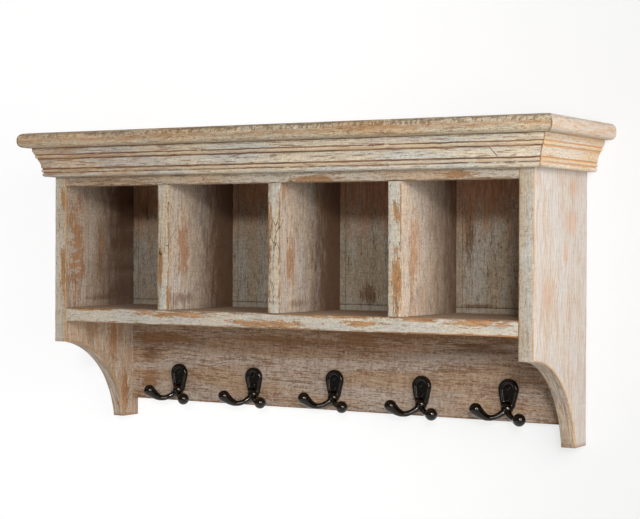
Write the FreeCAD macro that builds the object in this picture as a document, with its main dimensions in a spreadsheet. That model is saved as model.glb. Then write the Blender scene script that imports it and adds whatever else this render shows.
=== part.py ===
# Wall shelf: four open cubbies under a bullnosed top with a mitred crown moulding, two side
# panels whose lower ends are cut to a cove, and a rail that carries five cast double hooks.
# X runs along the shelf, +Y goes into the wall and +Z is up. The origin lies on the wall,
# midway between the two keyhole hangers. Lengths are in millimetres, angles in degrees.

import FreeCAD, Part
import math
import os
import re

import Sketcher
from FreeCAD import Placement, Rotation, Vector

# Driving dimensions, one row each: name, value, meaning.
SIZES = [
    ("carcase_width", 720, "over the outer faces of the side panels"),
    ("carcase_height", 382, "side panels, from the leg ends to the top board"),
    ("panel_thickness", 20, "side panels"),
    ("panel_depth", 166, "side panels, from the wall to the front"),
    ("leg_depth", 34, "side panel at its lower end"),
    ("cove_height", 114.5, "front end of the cove above the leg ends"),
    ("hang_drop", 52, "seats of the wall screws below the top board"),
    ("top_thickness", 20.5, "top board"),
    ("top_overhang", 37.5, "top board past the carcase at the front and sides"),
    ("top_upper_round", 8.5, "upper edge of the bullnose"),
    ("top_lower_round", 7.5, "lower edge of the bullnose"),
    ("frieze_height", 53, "rail over the cubbies"),
    ("frieze_thickness", 18, "rail over the cubbies"),
    ("shelf_height", 162.5, "shelf's upper face above the leg ends"),
    ("shelf_thickness", 20, "shelf board"),
    ("divider_thickness", 19, "upright between two cubbies"),
    ("back_thickness", 13, "back panel and hook rail"),
    ("rail_rise", 25.5, "hook rail's lower edge above the leg ends"),
    ("crown_height", 39.5, "crown moulding"),
    ("crown_projection", 22.5, "crown moulding at its top"),
    ("mitre_clearance", 5, "mitre's cut past the crown's outline"),
    ("dowel_radius", 3, "beech dowel"),
    ("dowel_length", 30, "beech dowel"),
    ("dowel_grip", 12, "dowel's depth in the piece whose face it enters"),
    ("dowel_inset", 35, "dowel from the front or back edge of a board"),
    ("dowel_pitch", 26, "between the two dowels in the end of an upright rail"),
    ("rail_dowel_inset", 22, "end dowel from the hook rail's long edge"),
    ("wood_fit", 0.05, "play round a dowel, brad or screw, and past its point"),
    ("brad_radius", 0.8, "brad in the crown moulding"),
    ("brad_length", 26, "brad in the crown moulding"),
    ("brad_cover", 1.5, "filler between a brad's head and the cove's face"),
    ("back_screw_head", 3.5, "head radius of a back panel screw"),
    ("back_screw_shank", 1.7, "shank radius of a back panel screw"),
    ("back_screw_length", 38, "back panel screw"),
    ("back_screw_inset", 30, "back panel screw from the ends of a divider"),
    ("plate_lobe_radius", 14.3, "upper end of a hook's plate"),
    ("plate_foot_radius", 9.8, "lower end of a hook's plate"),
    ("plate_centres", 22.5, "between the centres of the plate's two ends"),
    ("plate_thickness", 6, "hook's plate at its rim"),
    ("plate_round", 3.6, "outer edge of the plate"),
    ("dish_radius", 8.2, "upper end of the dish in the plate"),
    ("dish_foot_radius", 7.2, "lower end of the dish"),
    ("dish_centres", 13.5, "between the centres of the dish's two ends"),
    ("dish_depth", 2.8, "dish in the plate"),
    ("dish_round", 1.2, "lip of the dish"),
    ("hook_height", 40.7, "upper centre of a hook's plate above the rail's lower edge"),
    ("boss_radius", 8.4, "round boss that the prongs spring from"),
    ("boss_rise", 3.6, "boss's centre above the plate's back"),
    ("boss_drop", 25.6, "boss's centre below the plate's upper centre"),
    ("prong_start", 5.5, "start of a prong's centre line above the plate's back"),
    ("root_drop", 26, "start of a prong below the plate's upper centre"),
    ("prong_reach", 41, "from the boss to the centre of the ball, in plan"),
    ("prong_sag", 9, "lowest point of the prong's centre line below its start"),
    ("prong_lift", 10.6, "centre of the ball above the prong's lowest point"),
    ("prong_radius", 2.8, "thinnest part of a prong"),
    ("ball_radius", 7.9, "end of a prong"),
    ("spread_degrees", 47, "prong from straight ahead, in plan"),
    ("droop_degrees", 13, "right prong below the left one"),
    ("hook_screw_head", 3.4, "head radius of a hook screw"),
    ("hook_screw_shank", 1.75, "shank radius of a hook screw"),
    ("hook_screw_length", 14, "hook screw"),
    ("hook_screw_pitch", 15, "between the two screws of a hook"),
    ("hook_screw_drop", 12.5, "lower screw below the plate's upper centre"),
    ("hanger_width", 15, "keyhole plate"),
    ("hanger_height", 44, "keyhole plate"),
    ("hanger_thickness", 1.6, "keyhole plate"),
    ("keyhole_radius", 4.6, "round part of the keyhole"),
    ("keyway_radius", 2.4, "slot of the keyhole"),
    ("keyway_rise", 8, "slot's upper end above the round part's centre"),
    ("keyhole_room", 7, "depth of the pocket for the wall screw's head"),
    ("hanger_screw_pitch", 34, "between the two screws of a keyhole plate"),
    ("hanger_screw_head", 2.7, "head radius of a keyhole plate screw"),
    ("hanger_screw_shank", 1.3, "shank radius of a keyhole plate screw"),
    ("hanger_screw_length", 15, "keyhole plate screw"),
]

# Places worked out from the driving dimensions, as formulas in the same sheet.
PLACES = [
    ("inner_width", "carcase_width - 2 * panel_thickness", "between the side panels"),
    ("bay_width", "(inner_width - 3 * divider_thickness) / 4", "one cubby"),
    ("panel_middle", "(carcase_width - panel_thickness) / 2", "middle of a side panel's thickness"),
    ("ceiling", "hang_drop", "top board's lower face"),
    ("foot", "ceiling - carcase_height", "leg ends"),
    ("shelf_top", "foot + shelf_height", "shelf's upper face"),
    ("shelf_under", "shelf_top - shelf_thickness", "shelf's lower face"),
    ("shelf_middle", "shelf_top - shelf_thickness / 2", "middle of the shelf's thickness"),
    ("frieze_under", "ceiling - frieze_height", "frieze rail's lower edge"),
    ("frieze_middle", "ceiling - frieze_height / 2", "middle of the frieze rail's height"),
    ("rail_under", "foot + rail_rise", "hook rail's lower edge"),
    ("hook_level", "rail_under + hook_height", "upper centre of the hooks' plates"),
    ("cove_radius", "((panel_depth - leg_depth) ^ 2 + cove_height ^ 2) / (2 * cove_height)", "cove"),
    ("dowel_hole", "dowel_radius + wood_fit", "hole for a dowel"),
    ("brad_hole", "brad_radius + wood_fit", "hole for a brad"),
    ("brad_level", "ceiling - crown_height / 2", "brads, behind the middle of the cove"),
    ("brad_start", "crown_projection / 2 - brad_cover", "brad's head from the carcase"),
    ("mitre_reach", "crown_projection + mitre_clearance", "far corner of a mitre's cut from the carcase"),
    ("mitre_depth", "crown_height + mitre_clearance", "mitre's cut below the top board"),
    ("hanger_middle", "-keyway_rise / 2", "keyhole plate's centre from the wall screw"),
    ("plate_slope", "(plate_lobe_radius - plate_foot_radius) / plate_centres", "plate's taper"),
    ("dish_slope", "(dish_radius - dish_foot_radius) / dish_centres", "dish's taper"),
    ("screw_seat", "plate_thickness - dish_depth", "hook screw's head from the rail"),
]

# The crown's outline from its top front edge down to its back lower edge: projection as a share
# of the crown's projection, height as a share of its height, and, for a round stretch that ends
# there, its radius as a share of the height; a negative radius is hollow.
CROWN_SHARES = [
    (1.00, 0.000, None),
    (1.00, -0.115, None),
    (0.87, -0.180, 0.075),
    (0.87, -0.205, None),
    (0.70, -0.325, 0.150),
    (0.64, -0.340, None),
    (0.62, -0.380, None),
    (0.50, -0.700, -0.700),
    (0.40, -0.720, None),
    (0.54, -0.745, None),
    (0.54, -0.835, 0.060),
    (0.48, -0.845, None),
    (0.48, -0.865, None),
    (0.55, -0.880, None),
    (0.53, -0.975, 0.110),
    (0.44, -1.000, None),
    (0.00, -1.000, None),
]

# Where the hooks stand along the rail, as shares of its length.
HOOK_SHARES = [-0.3772, -0.1885, 0.0022, 0.1965, 0.3772]

# Where the crown's brads stand along each return, as shares of the panel's depth.
SIDE_BRAD_SHARES = [0.12, 0.62]

# The prong's centre line and thickness at its stations: distance as a share of the reach, height
# as a share of the sag below the start or of the lift above the lowest point, and radius as a
# share of the way from the thinnest part to the ball.
PRONG_SHARES = [
    (0.00, -0.00, 0.00, 0.16),
    (0.18, -0.62, 0.00, 0.02),
    (0.36, -0.97, 0.00, 0.00),
    (0.54, -1.00, 0.02, 0.08),
    (0.71, -1.00, 0.26, 0.34),
    (0.86, -1.00, 0.62, 0.70),
    (1.00, -1.00, 1.00, 0.97),
]

# Two points closer than this are the same point.
TOUCH = 0.01

doc = FreeCAD.newDocument("WallShelf")
sheet = doc.addObject("Spreadsheet::Sheet", "Sizes")
for row, (alias, number, meaning) in enumerate(SIZES + PLACES, start=1):
    sheet.set(f"A{row}", alias)
    sheet.set(f"B{row}", str(number) if isinstance(number, (int, float)) else f"={number}")
    sheet.set(f"C{row}", meaning)
    sheet.setAlias(f"B{row}", alias)
doc.recompute()
ALIASES = {alias for alias, _, _ in SIZES + PLACES}
subparts = []


def formula(text):
    """Turns a formula in plain size names into one that any object's property can be bound to."""
    return re.sub(r"[a-z][a-z_]*", lambda m: f"Sizes.{m.group()}" if m.group() in ALIASES else m.group(), text)


def measure(text):
    """Works out the present value of a formula in size names."""
    return float(sheet.evalExpression(formula(text)))


def bind(item, **formulas):
    """Binds properties of an object to formulas; a double underscore stands for a dot."""
    for name, text in formulas.items():
        item.setExpression(name.replace("__", "."), formula(text))


def keep(item, label):
    """Labels a finished sub-part and lists it for the STEP files."""
    item.Label = label
    subparts.append(item)
    return item


def sketch_on(body, role, offset="0"):
    """Adds an empty sketch to one of the body's own origin planes, moved along its normal."""
    sketch = body.newObject("Sketcher::SketchObject", f"{body.Name}_{role[:2]}")
    plane = next(item for item in body.Origin.OriginFeatures if item.Role == f"{role}_Plane")
    sketch.AttachmentSupport = [(plane, "")]
    sketch.MapMode = "FlatFace"
    bind(sketch, AttachmentOffset__Base__z=offset)
    return sketch


def pin_point(sketch, index, end, across, up):
    """Binds one point of a sketch to two formulas, measured from the sketch's origin."""
    for kind, text in (("DistanceX", across), ("DistanceY", up)):
        row = sketch.addConstraint(Sketcher.Constraint(kind, index, end, measure(text)))
        bind(sketch, **{f"Constraints[{row}]": text})


def arc_middle(start, end, radius):
    """Middle point of the short arc from start to end: it bulges to the left for a positive radius."""
    chord = end - start
    half = chord.Length / 2
    sagitta = abs(radius) - math.sqrt(radius * radius - half * half)
    left = Vector(-chord.y, chord.x, 0).normalize()
    return (start + end) * 0.5 + left * math.copysign(sagitta, radius)


def draw_outline(sketch, corners):
    """Draws a closed outline. Each corner is (across, up) or (across, up, radius), where the radius
    belongs to the arc that ends there: it bulges to the left of the way round if it is positive."""
    points = [Vector(measure(corner[0]), measure(corner[1]), 0) for corner in corners]
    for i, corner in enumerate(corners):
        start, end = points[i - 1], points[i]
        if len(corner) == 3:
            radius = measure(corner[2])
            middle = arc_middle(start, end, radius)
            index = sketch.addGeometry(Part.Arc(start, middle, end), False)
            first, last = (2, 1) if radius > 0 else (1, 2)
            row = sketch.addConstraint(Sketcher.Constraint("Radius", index, abs(radius)))
            bind(sketch, **{f"Constraints[{row}]": corner[2] if radius > 0 else f"-({corner[2]})"})
        else:
            index = sketch.addGeometry(Part.LineSegment(start, end), False)
            first, last = 1, 2
        if i == 0:
            opening = (index, first)
        else:
            sketch.addConstraint(Sketcher.Constraint("Coincident", index, first, *closing))
        closing = (index, last)
        pin_point(sketch, index, last, corner[0], corner[1])
    sketch.addConstraint(Sketcher.Constraint("Coincident", *opening, *closing))


def draw_circles(sketch, centres, radius):
    """Draws one circle of the given radius at each centre."""
    for across, up in centres:
        middle = Vector(measure(across), measure(up), 0)
        index = sketch.addGeometry(Part.Circle(middle, Vector(0, 0, 1), measure(radius)), False)
        row = sketch.addConstraint(Sketcher.Constraint("Radius", index, measure(radius)))
        bind(sketch, **{f"Constraints[{row}]": radius})
        pin_point(sketch, index, 3, across, up)


def rectangle(low, high):
    """Corners of a rectangle from its lowest to its highest corner."""
    return [low, (high[0], low[1]), high, (low[0], high[1])]


def pad(body, sketch, length, backwards=False):
    """Raises a sketch into a solid, along its normal or backwards."""
    solid = body.newObject("PartDesign::Pad", f"{body.Name}_Pad")
    solid.Profile = sketch
    solid.Reversed = backwards
    bind(solid, Length=length)
    body.Tip = solid
    doc.recompute()
    return solid


def pocket(body, sketch, depth, along_normal):
    """Cuts a sketch into the body, along its normal or against it, and makes sure that it cuts."""
    before = body.Shape.Volume
    cut = body.newObject("PartDesign::Pocket", f"{body.Name}_Pocket")
    cut.Profile = sketch
    cut.Reversed = along_normal
    bind(cut, Length=depth)
    body.Tip = cut
    doc.recompute()
    if body.Shape.Volume >= before:
        raise RuntimeError(f"a pocket of {body.Label} cuts nothing")
    return cut


def drill(body, role, offset, centres, radius, depth, along_normal):
    """Drills holes of one radius and depth from a plane parallel to an origin plane."""
    sketch = sketch_on(body, role, offset)
    draw_circles(sketch, centres, radius)
    return pocket(body, sketch, depth, along_normal)


def countersink(body, edges_at, size):
    """Chamfers the round edges whose centres lie at the given points."""
    names = []
    for i, edge in enumerate(body.Shape.Edges, start=1):
        if edge.isClosed() and any(edge.CenterOfMass.distanceToPoint(point) < TOUCH for point in edges_at):
            names.append(f"Edge{i}")
    solid = body.Tip
    chamfer = body.newObject("PartDesign::Chamfer", f"{body.Name}_Countersink")
    chamfer.Base = (solid, names)
    bind(chamfer, Size=size)
    body.Tip = chamfer
    doc.recompute()
    return chamfer


def round_edges(body, wanted, radius):
    """Rounds every edge of the body whose middle point the test accepts."""
    names = []
    for i, edge in enumerate(body.Shape.Edges, start=1):
        middle = edge.valueAt((edge.FirstParameter + edge.LastParameter) / 2)
        if wanted(middle, edge):
            names.append(f"Edge{i}")
    solid = body.Tip
    fillet = body.newObject("PartDesign::Fillet", f"{body.Name}_Round")
    fillet.Base = (solid, names)
    bind(fillet, Radius=radius)
    body.Tip = fillet
    doc.recompute()
    return fillet


def new_body(name):
    """Starts a body for one solid piece."""
    return doc.addObject("PartDesign::Body", name)


def near(value, text):
    """True where a coordinate equals a formula's value."""
    return abs(value - measure(text)) < TOUCH


# Pieces of wood

SHELF_DOWEL_PLACES = [
    ("dowel_inset - panel_depth", "shelf_middle"),
    ("-back_thickness - dowel_inset", "shelf_middle"),
]
FRIEZE_DOWEL_PLACES = [
    ("frieze_thickness / 2 - panel_depth", "frieze_middle - dowel_pitch / 2"),
    ("frieze_thickness / 2 - panel_depth", "frieze_middle + dowel_pitch / 2"),
]
RAIL_DOWEL_PLACES = [
    ("-back_thickness / 2", "rail_under + rail_dowel_inset"),
    ("-back_thickness / 2", "shelf_under - rail_dowel_inset"),
]
END_DOWEL_PLACES = SHELF_DOWEL_PLACES + FRIEZE_DOWEL_PLACES + RAIL_DOWEL_PLACES
UPRIGHT_DOWEL_PLACES = ["dowel_inset - panel_depth", "-back_thickness - dowel_inset"]
HANGER_SCREW_PLACES = [f"hanger_middle + {end} * hanger_screw_pitch / 2" for end in (-1, 1)]
FRONT_BRAD_PLACES = ["panel_middle", "carcase_width / 4", "0", "-carcase_width / 4", "-panel_middle"]


def side_brad_place(share):
    """Distance of a return's brad from the wall, as a formula."""
    return f"-panel_depth * {share}"


def make_side_panel(side):
    """Side panel with its cove; side is -1 for the left one and 1 for the right one. Its own frame
    has x = 0 on the inner face, and the panel lies outwards of it."""
    body = new_body("SidePanelLeft" if side < 0 else "SidePanelRight")
    outline = sketch_on(body, "YZ")
    draw_outline(outline, [
        ("0", "foot"),
        ("0", "ceiling"),
        ("-panel_depth", "ceiling"),
        ("-panel_depth", "foot + cove_height"),
        ("-leg_depth", "foot", "cove_radius"),
    ])
    pad(body, outline, "panel_thickness", backwards=side < 0)
    outwards = side > 0
    drill(body, "YZ", "0", END_DOWEL_PLACES, "dowel_hole", "dowel_grip + wood_fit", outwards)
    middle = f"{side} * panel_thickness / 2"
    tops = [(middle, place) for place in UPRIGHT_DOWEL_PLACES]
    drill(body, "XY", "ceiling", tops, "dowel_hole", "dowel_length - dowel_grip + wood_fit", False)
    outer = f"{side} * panel_thickness"
    brads = [(side_brad_place(share), "brad_level") for share in SIDE_BRAD_SHARES]
    drill(body, "YZ", outer, brads, "brad_hole", "brad_length - brad_start + wood_fit", not outwards)
    drill(body, "XZ", "panel_depth", [(middle, "brad_level")], "brad_hole",
          "brad_length - brad_start + wood_fit", False)
    cut_hanger_seat(body, middle)
    bind(body, Placement__Base__x=f"{side} * inner_width / 2")
    return keep(body, "side_panel_left" if side < 0 else "side_panel_right")


def cut_hanger_seat(body, middle):
    """Sinks a keyhole plate's seat, the pocket for the wall screw's head and the plate's screw
    holes into the rear edge of a side panel."""
    seat = sketch_on(body, "XZ")
    draw_outline(seat, rectangle(
        (f"{middle} - hanger_width / 2 - wood_fit", "hanger_middle - hanger_height / 2 - wood_fit"),
        (f"{middle} + hanger_width / 2 + wood_fit", "hanger_middle + hanger_height / 2 + wood_fit"),
    ))
    pocket(body, seat, "hanger_thickness", True)
    room = sketch_on(body, "XZ")
    draw_outline(room, rectangle(
        (f"{middle} - keyhole_radius", "-keyhole_radius - keyway_rise"),
        (f"{middle} + keyhole_radius", "keyhole_radius"),
    ))
    pocket(body, room, "keyhole_room + hanger_thickness", True)
    screws = [(middle, place) for place in HANGER_SCREW_PLACES]
    drill(body, "XZ", "0", screws, "hanger_screw_shank + wood_fit", "hanger_screw_length + wood_fit", True)


def divider_place(i):
    """Middle of a divider along X, as a formula."""
    return f"{i - 1} * (bay_width + divider_thickness)"


def bay_place(i):
    """Middle of a cubby along X, as a formula."""
    return f"{i - 1.5} * (bay_width + divider_thickness)"


def hook_place(share):
    """Middle of a hook along X, as a formula."""
    return f"inner_width * {share}"


TOP_DOWEL_ROWS = ["-panel_middle", divider_place(0), divider_place(1), divider_place(2), "panel_middle"]
DIVIDER_SCREW_PLACES = ["shelf_top + back_screw_inset", "ceiling - back_screw_inset"]
BACK_SCREW_PLACES = [(bay_place(i), "shelf_middle") for i in range(4)]
BACK_SCREW_PLACES += [(divider_place(i), place) for i in range(3) for place in DIVIDER_SCREW_PLACES]
SEAM_DOWEL_PLACES = [divider_place(i) for i in range(3)]
HOOK_SCREW_LEVELS = ["hook_screw_pitch - hook_screw_drop", "-hook_screw_drop"]


def make_top_board():
    """Top board, bullnosed along the front and both ends."""
    body = new_body("TopBoard")
    outline = sketch_on(body, "XY", "ceiling")
    reach = "(carcase_width / 2 + top_overhang)"
    draw_outline(outline, rectangle((f"-{reach}", "-panel_depth - top_overhang"), (reach, "0")))
    pad(body, outline, "top_thickness")
    places = [(middle, place) for middle in TOP_DOWEL_ROWS for place in UPRIGHT_DOWEL_PLACES]
    drill(body, "XY", "ceiling", places, "dowel_hole", "dowel_grip + wood_fit", True)

    def along_rim(level):
        def wanted(middle, edge):
            on_rim = near(abs(middle.x), reach) or near(middle.y, "-panel_depth - top_overhang")
            return on_rim and near(middle.z, level)
        return wanted

    round_edges(body, along_rim("ceiling + top_thickness"), "top_upper_round")
    round_edges(body, along_rim("ceiling"), "top_lower_round")
    return keep(body, "top_board")


def crown_corners(sign):
    """The crown's outline from its top back edge, with its projection along sign."""
    corners = [("0", "ceiling")]
    for across, up, radius in CROWN_SHARES:
        corner = (f"{sign} * crown_projection * {across}", f"ceiling + crown_height * {up}")
        if radius is not None:
            corner += (f"{sign} * crown_height * {radius}",)
        corners.append(corner)
    return corners


def make_crown_front():
    """Front length of the crown, mitred at both ends."""
    body = new_body("CrownFront")
    profile = sketch_on(body, "YZ", "-carcase_width / 2 - crown_projection")
    corners = [(f"{across} - panel_depth", *rest) for across, *rest in crown_corners(-1)]
    draw_outline(profile, corners)
    pad(body, profile, "carcase_width + 2 * crown_projection")
    for side in (-1, 1):
        mitre = sketch_on(body, "XY", "ceiling")
        half = f"{side} * carcase_width / 2"
        tip = f"{side} * (carcase_width / 2 + mitre_reach)"
        draw_outline(mitre, [
            (half, "-panel_depth"),
            (tip, "-panel_depth - mitre_reach"),
            (tip, "mitre_clearance - panel_depth"),
            (half, "mitre_clearance - panel_depth"),
        ])
        pocket(body, mitre, "mitre_depth", False)
    places = [(place, "brad_level") for place in FRONT_BRAD_PLACES]
    drill(body, "XZ", "panel_depth", places, "brad_hole", "brad_start", True)
    return keep(body, "crown_front")


def make_crown_return(side):
    """Length of the crown along one side panel, mitred at its front end and square at the wall."""
    body = new_body("CrownReturnLeft" if side < 0 else "CrownReturnRight")
    profile = sketch_on(body, "XZ")
    corners = [(f"{across} + {side} * carcase_width / 2", *rest) for across, *rest in crown_corners(side)]
    draw_outline(profile, corners)
    pad(body, profile, "panel_depth + crown_projection")
    mitre = sketch_on(body, "XY", "ceiling")
    half = f"{side} * carcase_width / 2"
    draw_outline(mitre, [
        (half, "-panel_depth"),
        (f"{side} * (carcase_width / 2 + mitre_reach)", "-panel_depth - mitre_reach"),
        (f"{side} * (carcase_width / 2 - mitre_clearance)", "-panel_depth - mitre_reach"),
        (f"{side} * (carcase_width / 2 - mitre_clearance)", "-panel_depth"),
    ])
    pocket(body, mitre, "mitre_depth", False)
    places = [(side_brad_place(share), "brad_level") for share in SIDE_BRAD_SHARES]
    drill(body, "YZ", half, places, "brad_hole", "brad_start", side > 0)
    return keep(body, "crown_return_left" if side < 0 else "crown_return_right")


def drill_board_ends(body, places):
    """Drills dowel holes into both ends of a board that runs between the side panels."""
    for side in (-1, 1):
        depth = "dowel_length - dowel_grip + wood_fit"
        drill(body, "YZ", f"{side} * inner_width / 2", places, "dowel_hole", depth, side < 0)


def make_frieze_rail():
    """Rail over the cubbies, flush with the front of the side panels."""
    body = new_body("FriezeRail")
    section = sketch_on(body, "YZ", "-inner_width / 2")
    draw_outline(section, rectangle(("-panel_depth", "frieze_under"), ("frieze_thickness - panel_depth", "ceiling")))
    pad(body, section, "inner_width")
    drill_board_ends(body, FRIEZE_DOWEL_PLACES)
    places = [(place, "brad_level") for place in FRONT_BRAD_PLACES[1:-1]]
    drill(body, "XZ", "panel_depth", places, "brad_hole", "brad_length - brad_start + wood_fit", False)
    return keep(body, "frieze_rail")


def make_shelf_board():
    """Floor of the cubbies, from the front of the side panels to the back panel."""
    body = new_body("ShelfBoard")
    section = sketch_on(body, "YZ", "-inner_width / 2")
    draw_outline(section, rectangle(("-panel_depth", "shelf_under"), ("-back_thickness", "shelf_top")))
    pad(body, section, "inner_width")
    drill_board_ends(body, SHELF_DOWEL_PLACES)
    places = [(divider_place(i), place) for i in range(3) for place in UPRIGHT_DOWEL_PLACES]
    drill(body, "XY", "shelf_top", places, "dowel_hole", "dowel_grip + wood_fit", False)
    shelf_screws = [(bay_place(i), "shelf_middle") for i in range(4)]
    depth = "back_screw_length - back_thickness + wood_fit"
    drill(body, "XZ", "back_thickness", shelf_screws, "back_screw_shank + wood_fit", depth, True)
    return keep(body, "shelf_board")


def make_divider(i, label):
    """Upright between two cubbies, notched round the frieze rail. Its own frame has x = 0 in the
    middle of its thickness."""
    body = new_body(f"Divider{i + 1}")
    outline = sketch_on(body, "YZ", "-divider_thickness / 2")
    draw_outline(outline, [
        ("-panel_depth", "shelf_top"),
        ("-back_thickness", "shelf_top"),
        ("-back_thickness", "ceiling"),
        ("frieze_thickness - panel_depth", "ceiling"),
        ("frieze_thickness - panel_depth", "frieze_under"),
        ("-panel_depth", "frieze_under"),
    ])
    pad(body, outline, "divider_thickness")
    places = [("0", place) for place in UPRIGHT_DOWEL_PLACES]
    depth = "dowel_length - dowel_grip + wood_fit"
    drill(body, "XY", "shelf_top", places, "dowel_hole", depth, True)
    drill(body, "XY", "ceiling", places, "dowel_hole", depth, False)
    screws = [("0", place) for place in DIVIDER_SCREW_PLACES]
    screw_depth = "back_screw_length - back_thickness + wood_fit"
    drill(body, "XZ", "back_thickness", screws, "back_screw_shank + wood_fit", screw_depth, True)
    bind(body, Placement__Base__x=divider_place(i))
    return keep(body, label)


def make_back_panel():
    """Panel behind the cubbies; it also covers the rear edge of the shelf."""
    body = new_body("BackPanel")
    outline = sketch_on(body, "XZ")
    draw_outline(outline, rectangle(("-inner_width / 2", "shelf_under"), ("inner_width / 2", "ceiling")))
    pad(body, outline, "back_thickness")
    drill(body, "XZ", "0", BACK_SCREW_PLACES, "back_screw_shank + wood_fit", "back_thickness", True)
    mouths = [Vector(measure(across), 0, measure(up)) for across, up in BACK_SCREW_PLACES]
    countersink(body, mouths, "back_screw_head - back_screw_shank")
    seam = [(place, "-back_thickness / 2") for place in SEAM_DOWEL_PLACES]
    drill(body, "XY", "shelf_under", seam, "dowel_hole", "dowel_length / 2 + wood_fit", True)
    return keep(body, "back_panel")


def make_hook_rail():
    """Board that carries the hooks, flush with the rear of the side panels."""
    body = new_body("HookRail")
    outline = sketch_on(body, "XZ")
    draw_outline(outline, rectangle(("-inner_width / 2", "rail_under"), ("inner_width / 2", "shelf_under")))
    pad(body, outline, "back_thickness")
    drill_board_ends(body, RAIL_DOWEL_PLACES)
    seam = [(place, "-back_thickness / 2") for place in SEAM_DOWEL_PLACES]
    drill(body, "XY", "shelf_under", seam, "dowel_hole", "dowel_length / 2 + wood_fit", False)
    places = [(hook_place(share), f"hook_level + {level}")
              for share in HOOK_SHARES for level in HOOK_SCREW_LEVELS]
    depth = "hook_screw_length - screw_seat + wood_fit"
    drill(body, "XZ", "back_thickness", places, "hook_screw_shank + wood_fit", depth, False)
    return keep(body, "hook_rail")


# Fasteners and fittings

# Turns +Z, the way a rod or screw points in its own frame, to the named axis.
TURNS = {
    "+Z": Rotation(),
    "-Z": Rotation(Vector(1, 0, 0), 180),
    "+X": Rotation(Vector(0, 1, 0), 90),
    "-X": Rotation(Vector(0, 1, 0), -90),
    "+Y": Rotation(Vector(1, 0, 0), -90),
    "-Y": Rotation(Vector(1, 0, 0), 90),
}


def place_at(item, start, axis):
    """Turns an object along an axis and binds its place to three formulas."""
    item.Placement = Placement(Vector(), TURNS[axis])
    bind(item, **{f"Placement.Base.{letter}": text for letter, text in zip("xyz", start)})
    return item


def make_rod(name, radius, length, start, axis):
    """Plain round rod, such as a dowel or a brad."""
    rod = doc.addObject("Part::Cylinder", name)
    bind(rod, Radius=radius, Height=length)
    return place_at(rod, start, axis)


def make_screw(name, head, shank, length, start, axis):
    """Countersunk screw whose flat head begins at start."""
    cone = doc.addObject("Part::Cone", f"{name}_Head")
    bind(cone, Radius1=head, Radius2=shank, Height=f"{head} - {shank}")
    stem = doc.addObject("Part::Cylinder", f"{name}_Shank")
    bind(stem, Radius=shank, Height=length)
    screw = doc.addObject("Part::MultiFuse", name)
    screw.Shapes = [cone, stem]
    return place_at(screw, start, axis)


def group(label, members):
    """Joins identical fasteners into one node that keeps them as separate solids."""
    node = doc.addObject("Part::Compound", label.title().replace("_", ""))
    node.Links = members
    return keep(node, label)


def make_end_dowels(name, places):
    """Dowels that join a board's two ends to the side panels."""
    rods = []
    for side, axis in ((-1, "+X"), (1, "-X")):
        for across, up in places:
            start = (f"{side} * (inner_width / 2 + dowel_grip)", across, up)
            rods.append(make_rod(name, "dowel_radius", "dowel_length", start, axis))
    return rods


def make_dowels():
    """Every dowel of the carcase, grouped by the joint that it makes."""
    group("shelf_dowels", make_end_dowels("ShelfDowel", SHELF_DOWEL_PLACES))
    group("frieze_dowels", make_end_dowels("FriezeDowel", FRIEZE_DOWEL_PLACES))
    seam = [make_rod("SeamDowel", "dowel_radius", "dowel_length",
                     (place, "-back_thickness / 2", "shelf_under - dowel_length / 2"), "+Z")
            for place in SEAM_DOWEL_PLACES]
    group("hook_rail_dowels", make_end_dowels("RailDowel", RAIL_DOWEL_PLACES) + seam)
    group("top_dowels", [
        make_rod("TopDowel", "dowel_radius", "dowel_length", (middle, place, "ceiling + dowel_grip"), "-Z")
        for middle in TOP_DOWEL_ROWS for place in UPRIGHT_DOWEL_PLACES])
    group("divider_dowels", [
        make_rod("DividerDowel", "dowel_radius", "dowel_length",
                 (divider_place(i), place, "shelf_top - dowel_grip"), "+Z")
        for i in range(3) for place in UPRIGHT_DOWEL_PLACES])


def make_crown_brads():
    """Headless brads that hold the crown to the frieze rail and the side panels."""
    brads = [make_rod("CrownBrad", "brad_radius", "brad_length",
                      (place, "-panel_depth - brad_start", "brad_level"), "+Y")
             for place in FRONT_BRAD_PLACES]
    for side, axis in ((-1, "+X"), (1, "-X")):
        brads += [make_rod("CrownBrad", "brad_radius", "brad_length",
                           (f"{side} * (carcase_width / 2 + brad_start)", side_brad_place(share), "brad_level"),
                           axis)
                  for share in SIDE_BRAD_SHARES]
    group("crown_brads", brads)


def make_back_screws():
    """Screws that draw the back panel onto the shelf and the dividers."""
    group("back_panel_screws", [
        make_screw("BackScrew", "back_screw_head", "back_screw_shank", "back_screw_length",
                   (across, "0", up), "-Y")
        for across, up in BACK_SCREW_PLACES])


def make_hanger(side):
    """Keyhole plate in the rear edge of a side panel, its slot running up from the round part."""
    body = new_body("HangerLeft" if side < 0 else "HangerRight")
    outline = sketch_on(body, "XZ")
    draw_outline(outline, rectangle(
        ("-hanger_width / 2", "hanger_middle - hanger_height / 2"),
        ("hanger_width / 2", "hanger_middle + hanger_height / 2"),
    ))
    pad(body, outline, "hanger_thickness")
    drill(body, "XZ", "0", [("0", "-keyway_rise")], "keyhole_radius", "hanger_thickness", True)
    slot = sketch_on(body, "XZ")
    draw_outline(slot, [
        ("keyway_radius", "-keyway_rise"),
        ("keyway_radius", "0"),
        ("0", "keyway_radius", "-keyway_radius"),
        ("-keyway_radius", "0", "-keyway_radius"),
        ("-keyway_radius", "-keyway_rise"),
    ])
    pocket(body, slot, "hanger_thickness", True)
    screws = [("0", place) for place in HANGER_SCREW_PLACES]
    drill(body, "XZ", "0", screws, "hanger_screw_shank + wood_fit", "hanger_thickness", True)
    mouths = [Vector(measure(across), 0, measure(up)) for across, up in screws]
    countersink(body, mouths, "hanger_screw_head - hanger_screw_shank")
    bind(body, Placement__Base__x=f"{side} * panel_middle")
    return keep(body, "keyhole_hanger_left" if side < 0 else "keyhole_hanger_right")


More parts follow.
